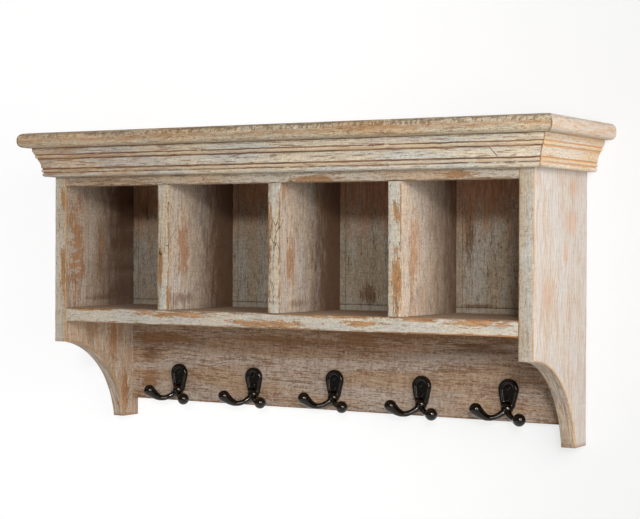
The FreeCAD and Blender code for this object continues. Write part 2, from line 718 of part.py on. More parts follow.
def make_hanger_screws():
    """Screws of the two keyhole plates."""
    group("hanger_screws", [
        make_screw("HangerScrew", "hanger_screw_head", "hanger_screw_shank", "hanger_screw_length",
                   (f"{side} * panel_middle", "0", place), "-Y")
        for side in (-1, 1) for place in HANGER_SCREW_PLACES])


# Cast double hooks

def teardrop(lobe, small, centres, slope):
    """Outline of two round ends joined by straight sides, its wide end centred on the origin."""
    cosine = f"sqrt(1 - {slope} ^ 2)"
    return [
        (f"{small} * {cosine}", f"-{centres} - {small} * {slope}", f"-{small}"),
        (f"{lobe} * {cosine}", f"-{lobe} * {slope}"),
        ("0", lobe, f"-{lobe}"),
        (f"-{lobe} * {cosine}", f"-{lobe} * {slope}", f"-{lobe}"),
        (f"-{small} * {cosine}", f"-{centres} - {small} * {slope}"),
        ("0", f"-{centres} - {small}", f"-{small}"),
    ]


def prong_point(station, droop):
    """Distance out and height of one station of a prong, from its start, as formulas."""
    out, down, lift, _ = PRONG_SHARES[station]
    reach = f"(prong_reach * {out})"
    height = f"(prong_sag * {down} + prong_lift * {lift})"
    return (f"({reach} * cos({droop}) + {height} * sin({droop}))",
            f"({height} * cos({droop}) - {reach} * sin({droop}))")


def prong_place(station, side, droop):
    """Place of one station of a prong in the hook's frame, as three formulas."""
    out, height = prong_point(station, droop)
    return (f"{side} * {out} * sin(spread_degrees)",
            f"-prong_start - {out} * cos(spread_degrees)",
            f"{height} - root_drop")


def attach(feature, body, place, rotation=None):
    """Attaches a feature to the body's own XY plane and binds its offset to three formulas."""
    plane = next(item for item in body.Origin.OriginFeatures if item.Role == "XY_Plane")
    feature.AttachmentSupport = [(plane, "")]
    feature.MapMode = "FlatFace"
    feature.AttachmentOffset = Placement(Vector(), rotation or Rotation())
    bind(feature, **{f"AttachmentOffset.Base.{letter}": text for letter, text in zip("xyz", place)})


def add_ball(body, name, place, radius, lowest="-90"):
    """Adds a ball to the body at a place given by three formulas. Its pole points forwards, and
    the ball begins at the latitude that lowest gives."""
    ball = body.newObject("PartDesign::AdditiveSphere", f"{body.Name}_{name}")
    attach(ball, body, place, TURNS["-Y"])
    bind(ball, Radius=radius, Angle1=lowest)
    body.Tip = ball
    doc.recompute()


def add_prong(body, side, droop):
    """Lofts one prong through round sections and closes it with a ball."""
    stations = range(len(PRONG_SHARES))
    places = [Vector(*(measure(text) for text in prong_place(i, side, droop))) for i in stations]
    spread = math.radians(measure("spread_degrees"))
    level = Vector(math.cos(spread), side * math.sin(spread), 0)
    sections = []
    for i in stations:
        tangent = places[min(i + 1, stations[-1])] - places[max(i - 1, 0)]
        tangent.normalize()
        section = body.newObject("Sketcher::SketchObject", f"{body.Name}_Section")
        attach(section, body, prong_place(i, side, droop), Rotation(level, Vector(), tangent, "ZXY"))
        share = PRONG_SHARES[i][3]
        draw_circles(section, [("0", "0")], f"prong_radius + (ball_radius - prong_radius) * {share}")
        sections.append(section)
    prong = body.newObject("PartDesign::AdditiveLoft", f"{body.Name}_Prong")
    prong.Profile = sections[0]
    prong.Sections = sections[1:]
    body.Tip = prong
    add_ball(body, "Ball", prong_place(stations[-1], side, droop), "ball_radius")


def is_on_dish(point):
    """True for a point of the hook's frame that lies no further out than the dish's outline."""
    across, up = abs(point.x), point.z
    lowest, widest = measure("-dish_centres - dish_foot_radius"), measure("dish_radius")
    return lowest - TOUCH < up < widest + TOUCH and across < widest + TOUCH


def make_hook(number, share):
    """Double hook: a dished teardrop plate, the boss under it and two prongs that splay to the
    sides. Its own frame has its origin on the rail's face, at the plate's upper centre."""
    body = new_body(f"Hook{number}")
    outline = sketch_on(body, "XZ")
    draw_outline(outline, teardrop("plate_lobe_radius", "plate_foot_radius", "plate_centres", "plate_slope"))
    pad(body, outline, "plate_thickness")
    round_edges(body, lambda middle, edge: near(-middle.y, "plate_thickness"), "plate_round")
    dish = sketch_on(body, "XZ", "plate_thickness")
    draw_outline(dish, teardrop("dish_radius", "dish_foot_radius", "dish_centres", "dish_slope"))
    pocket(body, dish, "dish_depth", False)
    round_edges(body, lambda middle, edge: near(-middle.y, "plate_thickness") and is_on_dish(middle), "dish_round")
    drill(body, "XZ", "screw_seat", [("0", level) for level in HOOK_SCREW_LEVELS],
          "hook_screw_shank + wood_fit", "screw_seat", False)
    mouths = [Vector(0, -measure("screw_seat"), measure(level)) for level in HOOK_SCREW_LEVELS]
    countersink(body, mouths, "hook_screw_head - hook_screw_shank")
    add_ball(body, "Boss", ("0", "-boss_rise", "-boss_drop"), "boss_radius", "-asin(boss_rise / boss_radius)")
    for side, droop in ((-1, "0"), (1, "droop_degrees")):
        add_prong(body, side, droop)
    place = {"x": hook_place(share), "y": "-back_thickness", "z": "hook_level"}
    bind(body, **{f"Placement.Base.{letter}": text for letter, text in place.items()})
    return keep(body, f"hook_{number}")


def make_hook_screws():
    """Two countersunk screws for each hook."""
    group("hook_screws", [
        make_screw("HookScrew", "hook_screw_head", "hook_screw_shank", "hook_screw_length",
                   (hook_place(share), "-back_thickness - screw_seat", f"hook_level + {level}"), "+Y")
        for share in HOOK_SHARES for level in HOOK_SCREW_LEVELS])


def check_document():
    """Stops if any object failed or any sub-part has no sound shape."""
    faulty = [item.Name for item in doc.Objects if {"Invalid", "Error"} & set(item.State)]
    faulty += [item.Label for item in subparts if item.Shape.isNull() or not item.Shape.isValid()]
    if faulty:
        raise RuntimeError(f"these objects failed: {', '.join(faulty)}")


for side in (-1, 1):
    make_side_panel(side)
make_top_board()
make_crown_front()
for side in (-1, 1):
    make_crown_return(side)
make_frieze_rail()
make_shelf_board()
for i, label in enumerate(["divider_left", "divider_centre", "divider_right"]):
    make_divider(i, label)
make_back_panel()
make_hook_rail()
make_dowels()
make_crown_brads()
make_back_screws()
for side in (-1, 1):
    make_hanger(side)
make_hanger_screws()
for number, share in enumerate(HOOK_SHARES, start=1):
    make_hook(number, share)
make_hook_screws()
doc.recompute()
check_document()

os.makedirs("parts", exist_ok=True)
for item in subparts:
    item.Shape.exportStep(os.path.join("parts", f"{item.Label}.step"))
    print(f"{item.Label}: {len(item.Shape.Solids)} solid(s), {item.Shape.Volume / 1000:.1f} cm3")
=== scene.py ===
"""Wall shelf with hooks: limewashed pine case, mitred crown moulding and five cast double hooks.

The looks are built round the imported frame. Lengths are in metres, the front faces -Y, the wall is
the plane Y = 0, and every piece stays where its CAD node is.
"""

import logging
import math
from dataclasses import dataclass, field
from enum import Enum
from typing import Callable, Optional, Sequence, Union

import bmesh
import bpy
from mathutils import Matrix, Vector


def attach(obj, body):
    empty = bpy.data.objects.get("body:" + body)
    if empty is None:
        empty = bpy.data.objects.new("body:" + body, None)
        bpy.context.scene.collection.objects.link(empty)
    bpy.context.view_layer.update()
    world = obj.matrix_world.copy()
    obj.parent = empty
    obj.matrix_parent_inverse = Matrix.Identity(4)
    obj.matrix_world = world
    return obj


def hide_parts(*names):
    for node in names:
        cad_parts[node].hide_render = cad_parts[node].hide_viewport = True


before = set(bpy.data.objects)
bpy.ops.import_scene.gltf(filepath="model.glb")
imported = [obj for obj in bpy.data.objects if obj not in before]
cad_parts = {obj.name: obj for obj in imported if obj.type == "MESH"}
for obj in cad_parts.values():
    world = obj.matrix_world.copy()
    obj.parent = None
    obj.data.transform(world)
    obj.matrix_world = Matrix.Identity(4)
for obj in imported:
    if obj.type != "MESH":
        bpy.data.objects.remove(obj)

log = logging.getLogger("wall_shelf")

MM = 0.001
HAIR = 1e-6  # in metres: places that lie closer count as one

# Sizes in millimetres that several sub-assemblies and finishes share.
HALF_WIDTH = 360.0
PANEL = 20.0
INSIDE = HALF_WIDTH - PANEL
DEPTH = 166.0
CEILING = 52.0
BACK = 13.0
SHELF_TOP = -167.5
SHELF_UNDER = -187.5

Socket = bpy.types.NodeSocket
Value = Union[Socket, float]
Pair = tuple[float, float]
Triple = tuple[float, float, float]
Colour = Triple
Paint = Union[Socket, Colour]
Piece = bpy.types.Object
Material = bpy.types.Material


class Axis(Enum):
    """A direction of the part's frame."""

    X = 0
    Y = 1
    Z = 2

    @property
    def ahead(self) -> Vector:
        """Unit vector along the axis."""
        return Vector([1.0 if i == self.value else 0.0 for i in range(3)])


class Side(Enum):
    """An end of the shelf, by the sign of its X."""

    LEFT = -1
    RIGHT = 1

    @property
    def word(self) -> str:
        """The side as it stands in the names of pieces."""
        return self.name.lower()


class Slot(Enum):
    """The record's material slots that modelled pieces are finished from."""

    LIMEWASH = "limewashed_wood"
    IRON = "black_iron"


def shade(red: int, green: int, blue: int) -> Colour:
    """Turn a colour as seen on a screen, 0 to 255 in each part, into the linear one that the nodes use."""
    parts = (value / 255 for value in (red, green, blue))
    return tuple(v / 12.92 if v <= 0.04045 else ((v + 0.055) / 1.055) ** 2.4 for v in parts)


class Bench:
    """Modelling steps shared by the sub-assemblies, each through Blender's own operators."""

    @staticmethod
    def clear() -> None:
        """Leave edit mode and deselect every object."""
        if bpy.context.object and bpy.context.object.mode != "OBJECT":
            bpy.ops.object.mode_set(mode="OBJECT")
        bpy.ops.object.select_all(action="DESELECT")

    @staticmethod
    def hold(*pieces: Piece) -> None:
        """Select only these pieces and make the first one active.

        Args:
            pieces: the pieces to hold.
        """
        Bench.clear()
        for piece in pieces:
            piece.select_set(True)
        bpy.context.view_layer.objects.active = pieces[0]

    @staticmethod
    def named(name: str) -> Piece:
        """Take the primitive just added, name it, and put its place into its mesh.

        Args:
            name: name of the piece.

        Returns:
            The piece, at the origin.
        """
        piece = bpy.context.object
        piece.name = piece.data.name = name
        bpy.ops.object.transform_apply(location=True, rotation=True, scale=True)
        return piece

    @staticmethod
    def block(name: str, low: Vector, high: Vector) -> Piece:
        """Add a block between two corners.

        Args:
            name: name of the piece.
            low: lowest corner.
            high: highest corner.

        Returns:
            The piece.
        """
        Bench.clear()
        bpy.ops.mesh.primitive_cube_add(size=1, location=(low + high) / 2, scale=high - low)
        return Bench.named(name)

    @staticmethod
    def trace(name: str, points: Sequence[Vector], reach: Vector) -> Piece:
        """Draw a closed outline by extruding one vertex from point to point, fill it and extrude it.

        Args:
            name: name of the piece.
            points: the outline's corners in order.
            reach: how far and which way the filled outline is extruded.

        Returns:
            The piece.
        """
        Bench.clear()
        bpy.ops.mesh.primitive_plane_add(size=MM, location=points[0])
        piece = Bench.named(name)
        bpy.ops.object.mode_set(mode="EDIT")
        bpy.ops.mesh.select_mode(type="VERT")
        bpy.ops.mesh.merge(type="CENTER")
        for here, there in zip(points, [*points[1:], points[0]]):
            bpy.ops.mesh.extrude_region_move(TRANSFORM_OT_translate={"value": there - here})
        bpy.ops.mesh.select_all(action="SELECT")
        bpy.ops.mesh.remove_doubles(threshold=0.01 * MM)
        bpy.ops.mesh.edge_face_add()
        bpy.ops.mesh.extrude_region_move(TRANSFORM_OT_translate={"value": reach})
        bpy.ops.mesh.select_all(action="SELECT")
        bpy.ops.mesh.normals_make_consistent(inside=False)
        bpy.ops.object.mode_set(mode="OBJECT")
        return piece

    @staticmethod
    def pick(piece: Piece, faces: bool, test: Callable[[Vector, Vector], bool]) -> int:
        """Select edges or faces by their place.

        Args:
            piece: the piece, which is left in edit mode.
            faces: pick faces rather than edges.
            test: takes an edge's two ends, or a face's middle and normal.

        Returns:
            How many were picked.
        """
        Bench.hold(piece)
        bpy.ops.object.mode_set(mode="EDIT")
        bpy.ops.mesh.select_mode(type="FACE" if faces else "EDGE")
        bpy.ops.mesh.select_all(action="DESELECT")
        shape = bmesh.from_edit_mesh(piece.data)
        shape.normal_update()
        picked = 0
        for part in shape.faces if faces else shape.edges:
            pair = (part.calc_center_median(), part.normal) if faces else (v.co for v in part.verts)
            if test(*pair):
                part.select_set(True)
                picked += 1
        bmesh.update_edit_mesh(piece.data)
        return picked

    @staticmethod
    def soften(piece: Piece, width: float, steps: int, test: Callable[[Vector, Vector], bool]) -> None:
        """Round the edges that pass a test.

        Args:
            piece: the piece.
            width: how far the round reaches from the edge.
            steps: faces across the round.
            test: takes an edge's two ends.
        """
        if Bench.pick(piece, False, test):
            bpy.ops.mesh.bevel(offset=width, segments=steps, profile=0.5, affect="EDGES")
        bpy.ops.object.mode_set(mode="OBJECT")

    @staticmethod
    def slice(piece: Piece, axis: Axis, step: float, low: float, high: float) -> None:
        """Cut a piece across at even steps, so that its arrises can waver.

        Args:
            piece: the piece.
            axis: direction of the steps.
            step: distance between two cuts.
            low: where the steps start.
            high: where they end.
        """
        Bench.hold(piece)
        bpy.ops.object.mode_set(mode="EDIT")
        for i in range(1, max(2, round((high - low) / step))):
            place = axis.ahead * (low + i * step)
            if low + i * step >= high:
                break
            bpy.ops.mesh.select_all(action="SELECT")
            bpy.ops.mesh.bisect(plane_co=place, plane_no=axis.ahead)
        bpy.ops.object.mode_set(mode="OBJECT")

    @staticmethod
    def cut(piece: Piece, place: Vector, away: Vector) -> None:
        """Saw a piece through at a plane, drop what lies ahead of it and close the cut.

        Args:
            piece: the piece.
            place: a point on the plane.
            away: direction of the part that is dropped.
        """
        Bench.hold(piece)
        bpy.ops.object.mode_set(mode="EDIT")
        bpy.ops.mesh.select_all(action="SELECT")
        bpy.ops.mesh.bisect(plane_co=place, plane_no=away, use_fill=True, clear_outer=True)
        bpy.ops.object.mode_set(mode="OBJECT")

    @staticmethod
    def apply(piece: Piece, kind: str, **settings: object) -> None:
        """Add a modifier and apply it.

        Args:
            piece: the piece.
            kind: the modifier's type.
            settings: the modifier's settings.
        """
        Bench.hold(piece)
        modifier = piece.modifiers.new(kind.lower(), kind)
        for key, value in settings.items():
            setattr(modifier, key, value)
        bpy.ops.object.modifier_apply(modifier=modifier.name)

    @staticmethod
    def rub(piece: Piece, depth: float, size: float, test: Callable[[Vector], bool]) -> None:
        """Sink the vertices that pass a test by a slow noise, as handling and sanding do.

        Args:
            piece: the piece.
            depth: the deepest dip.
            size: size of the dips.
            test: takes a vertex's place.
        """
        group = piece.vertex_groups.new(name="rubbed")
        group.add([v.index for v in piece.data.vertices if test(v.co)], 1.0, "REPLACE")
        noise = bpy.data.textures.new(f"{piece.name}_rub", "CLOUDS")
        noise.noise_scale = size
        Bench.apply(piece, "DISPLACE", texture=noise, texture_coords="LOCAL", direction="NORMAL",
                    mid_level=1.0, strength=depth, vertex_group="rubbed")
        piece.vertex_groups.clear()
        bpy.data.textures.remove(noise)

    @staticmethod
    def copy(piece: Piece, name: str, place: Matrix) -> Piece:
        """Copy a piece with a mesh of its own to another place.

        Args:
            piece: the piece to copy.
            name: name of the copy.
            place: where the copy goes.

        Returns:
            The copy, at the origin, with its place in its mesh.
        """
        Bench.hold(piece)
        bpy.ops.object.duplicate(linked=False)
        twin = bpy.context.object
        twin.name = twin.data.name = name
        twin.matrix_world = place
        bpy.ops.object.transform_apply(location=True, rotation=True, scale=True)
        return twin

    @staticmethod
    def join(name: str, *pieces: Piece) -> Piece:
        """Join pieces into one mesh.

        Args:
            name: name of the joined piece.
            pieces: the pieces.

        Returns:
            The joined piece.
        """
        Bench.hold(*pieces)
        bpy.ops.object.join()
        piece = bpy.context.object
        piece.name = piece.data.name = name
        return piece

    @staticmethod
    def ball(name: str, radius: float, place: Vector) -> Piece:
        """Add a ball.

        Args:
            name: name of the piece.
            radius: its radius in millimetres.
            place: its middle in millimetres.

        Returns:
            The ball.
        """
        Bench.clear()
        bpy.ops.mesh.primitive_uv_sphere_add(segments=32, ring_count=20, radius=radius * MM,
                                             location=place * MM)
        return Bench.named(name)

    @staticmethod
    def rod(name: str, sides: int, radius: float, length: float, middle: float) -> Piece:
        """Add a rod along Y.

        Args:
            name: name of the piece.
            sides: how many flats it has.
            radius: its radius in millimetres.
            length: its length in millimetres.
            middle: where its middle lies on Y, in millimetres.

        Returns:
            The rod.
        """
        Bench.clear()
        bpy.ops.mesh.primitive_cylinder_add(vertices=sides, radius=radius * MM, depth=length * MM,
                                            location=(0, middle * MM, 0), rotation=(math.radians(90), 0, 0))
        return Bench.named(name)

    @staticmethod
    def carve(piece: Piece, tool: Piece) -> None:
        """Cut the tool's shape out of a piece, and drop the tool."""
        Bench.apply(piece, "BOOLEAN", operation="DIFFERENCE", object=tool, solver="EXACT")
        bpy.data.objects.remove(tool)

    @staticmethod
    def dress(node: str, finish: Material) -> None:
        """Give a CAD piece that stays its material.

        Args:
            node: the CAD node.
            finish: its material.
        """
        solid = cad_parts[node]
        solid.data.materials.clear()
        solid.data.materials.append(finish)
        log.info("%s: CAD solid kept, dressed with %s", node, finish.name)

    @staticmethod
    def deliver(piece: Piece, slot: Slot, finish: Material, *nodes: str, angle: float = 35) -> Piece:
        """Smooth a finished piece, dress it and hang it on the frame.

        Args:
            piece: the piece.
            slot: the record's slot it is finished from; not used.
            finish: its material.
            nodes: the CAD nodes it stands for.
            angle: sharpest edge in degrees that is still shaded smooth.

        Returns:
            The piece.
        """
        Bench.hold(piece)
        bpy.ops.object.shade_smooth_by_angle(angle=math.radians(angle))
        piece.data.materials.clear()
        piece.data.materials.append(finish)
        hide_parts(*nodes)
        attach(piece, "root")
        log.info("%s: %d faces, stands for %s", piece.name, len(piece.data.polygons), ", ".join(nodes))
        return piece


class Graph:
    """The nodes of one material, with a short call for each kind of node."""

    def __init__(self, name: str) -> None:
        """Start an empty material.

        Args:
            name: name of the material.
        """
        self.material = bpy.data.materials.new(name)
        self.material.use_nodes = True
        self.tree = self.material.node_tree
        self.tree.nodes.clear()

    def node(self, kind: str, inputs: Optional[dict[Union[int, str], object]] = None,
             **settings: object) -> bpy.types.Node:
        """Add a node.

        Args:
            kind: the node's type.
            inputs: links or constants by the socket's name or number.
            settings: the node's own settings.

        Returns:
            The node.
        """
        made = self.tree.nodes.new(kind)
        for key, value in settings.items():
            setattr(made, key, value)
        for key, value in (inputs or {}).items():
            if isinstance(value, bpy.types.NodeSocket):
                self.tree.links.new(value, made.inputs[key])
            else:
                made.inputs[key].default_value = value
        return made

    def math(self, operation: str, a: Value, b: Value = 0.0) -> Socket:
        """Work out one or two values by Blender's name of the operation."""
        return self.node("ShaderNodeMath", {0: a, 1: b}, operation=operation).outputs[0]

    def chain(self, operation: str, values: Sequence[Value]) -> Value:
        """Work through values from the first to the last.

        Args:
            operation: Blender's name of the operation.
            values: the values.

        Returns:
            The result, or the value itself where there is only one.
        """
        total = values[0]
        for value in values[1:]:
            total = self.math(operation, total, value)
        return total

    def add(self, *values: Value) -> Value:
        """Add values up."""
        return self.chain("ADD", values)

    def times(self, *values: Value) -> Value:
        """Multiply values."""
        return self.chain("MULTIPLY", values)

    def most(self, *values: Value) -> Value:
        """Take the largest of some values."""
        return self.chain("MAXIMUM", values)

    def least(self, *values: Value) -> Value:
        """Take the smallest of some values."""
        return self.chain("MINIMUM", values)

    def less(self, a: Value, b: Value) -> Socket:
        """Take one value from another."""
        return self.math("SUBTRACT", a, b)

    def apart(self, a: Value, b: Value) -> Socket:
        """How far two values lie apart."""
        return self.math("ABSOLUTE", self.less(a, b))

    def radius(self, a: Value, b: Value) -> Socket:
        """Distance of a point from the origin of its plane, from its two coordinates."""
        return self.math("POWER", self.add(self.times(a, a), self.times(b, b)), 0.5)

    def swing(self, value: Value, reach: float) -> Socket:
        """Turn a noise of 0 to 1 into one that swings round zero by its reach each way."""
        return self.node("ShaderNodeMapRange", {0: value, 1: 0.0, 2: 1.0, 3: -reach, 4: reach},
                         clamp=False).outputs[0]

    def rise(self, value: Value, low: float, high: float) -> Socket:
        """Go smoothly from 0 where the value is low to 1 where it is high; low may lie above high."""
        ends = {1: low, 2: high} if low < high else {1: high, 2: low, 3: 1.0, 4: 0.0}
        return self.node("ShaderNodeMapRange", {0: value, **ends}, interpolation_type="SMOOTHSTEP").outputs[0]

    def band(self, value: Value, low: float, high: float, edge: float) -> Socket:
        """Be 1 between two limits and 0 outside them, with a soft edge at each."""
        return self.times(self.rise(value, low - edge, low + edge),
                          self.rise(value, high + edge, high - edge))

    def place(self) -> tuple[Socket, Socket, Socket, Socket]:
        """The point on the piece in millimetres.

        Returns:
            The point and its X, Y and Z.
        """
        at = self.node("ShaderNodeTexCoord").outputs["Object"]
        point = self.node("ShaderNodeVectorMath", {0: at, "Scale": 1 / MM}, operation="SCALE").outputs[0]
        split = self.node("ShaderNodeSeparateXYZ", {0: point})
        return point, split.outputs[0], split.outputs[1], split.outputs[2]

    def nearness(self, point: Socket, middle: Triple, reach: Triple) -> Socket:
        """Distance of a point from a place, counted in its reach: 1 at the place's limit.

        Args:
            point: the point in millimetres.
            middle: middle of the place.
            reach: half its size on each axis.

        Returns:
            The distance.
        """
        near = self.node("ShaderNodeVectorMath", {0: point, 1: middle}, operation="SUBTRACT").outputs[0]
        near = self.node("ShaderNodeVectorMath", {0: near, 1: reach}, operation="DIVIDE").outputs[0]
        return self.node("ShaderNodeVectorMath", {0: near}, operation="LENGTH").outputs["Value"]

    def moved(self, point: Socket, scale: Sequence[float], seed: float) -> Socket:
        """Stretch the point that a pattern is read at on each axis, and move it by the seed."""
        shift = (seed, seed * 0.7, seed * 1.3)
        return self.node("ShaderNodeMapping", {0: point, 1: shift, 3: tuple(scale)}).outputs[0]

    def noise(self, point: Socket, scale: Sequence[float], seed: float, detail: float = 2.0,
              rough: float = 0.5, bend: float = 0.0) -> Socket:
        """Add a noise stretched by its own scale on each axis.

        Args:
            point: the place it is read at.
            scale: waves per millimetre on each axis.
            seed: moves the pattern.
            detail: how many finer layers it has.
            rough: how strong the finer layers are.
            bend: how much it is bent by itself.

        Returns:
            A value round 0.5.
        """
        return self.node("ShaderNodeTexNoise", {"Vector": self.moved(point, scale, seed), "Scale": 1.0,
                                                "Detail": detail, "Roughness": rough,
                                                "Distortion": bend}).outputs[0]

    def splits(self, point: Socket, scale: Sequence[float], seed: float) -> Socket:
        """Distance from the nearest edge in a net of cells stretched by its own scale on each axis."""
        return self.node("ShaderNodeTexVoronoi", {"Vector": self.moved(point, scale, seed), "Scale": 1.0},
                         feature="DISTANCE_TO_EDGE").outputs["Distance"]

    def mix(self, share: Value, a: Paint, b: Paint, blend: str = "MIX") -> Socket:
        """Mix two colours.

        Args:
            share: share of the second one.
            a: first colour.
            b: second colour.
            blend: Blender's name of the way they mix.

        Returns:
            The mixed colour.
        """
        pair = [value if isinstance(value, bpy.types.NodeSocket) else (*value, 1.0) for value in (a, b)]
        made = self.node("ShaderNodeMix", {0: share, 6: pair[0], 7: pair[1]}, data_type="RGBA",
                         blend_type=blend, clamp_factor=True)
        return made.outputs[2]

    def lay(self, colour: Paint, tint: Paint, *shares: Value) -> Socket:
        """Lay a tint over a colour by the product of the shares."""
        return self.mix(self.times(*shares), colour, tint)

    def finish(self, colour: Socket, rough: Value, height: Optional[Socket] = None, depth: float = 0.0,
               **constants: object) -> Material:
        """Close the material with its shader.

        Args:
            colour: base colour.
            rough: roughness.
            height: height of the fine relief, 0 to 1.
            depth: depth of that relief in metres.
            constants: further settings of the shader, with _ for a space.

        Returns:
            The material.
        """
        shader = self.node("ShaderNodeBsdfPrincipled", {"Base Color": colour, "Roughness": rough})
        for key, value in constants.items():
            shader.inputs[key.replace("_", " ")].default_value = value
        if height is not None:
            relief = self.node("ShaderNodeBump", {"Strength": 1.0, "Distance": depth, "Height": height})
            self.tree.links.new(relief.outputs[0], shader.inputs["Normal"])
        end = self.node("ShaderNodeOutputMaterial", {"Surface": shader.outputs[0]})
        end.is_active_output = True
        return self.material


class Mark(Enum):
    """What a patch does to the wash."""

    RUB = "rubbed to the bare wood"
    COMB = "rubbed across the grain in short strokes"
    STAIN = "stained brown"


@dataclass(frozen=True)
class Patch:
    """A place on a board, in millimetres, where the wash differs."""

    mark: Mark
    middle: Triple
    reach: Triple
    strength: float = 1.0

    @staticmethod
    def rows(mark: Mark, *rows: Sequence[float]) -> tuple["Patch", ...]:
        """Make patches of one kind from rows of middle and reach, and strength where that isn't 1."""
        return tuple(Patch(mark, row[:3], row[3:6], *row[6:]) for row in rows)


@dataclass(frozen=True)
class Layers:
    """What a wood material has worked out before its own marks are drawn."""

    point: Socket
    x: Socket
    y: Socket
    z: Socket
    fibre: Socket
    streak: Socket
    cloud: Socket
    speck: Socket
    late: Socket
    rub: Value


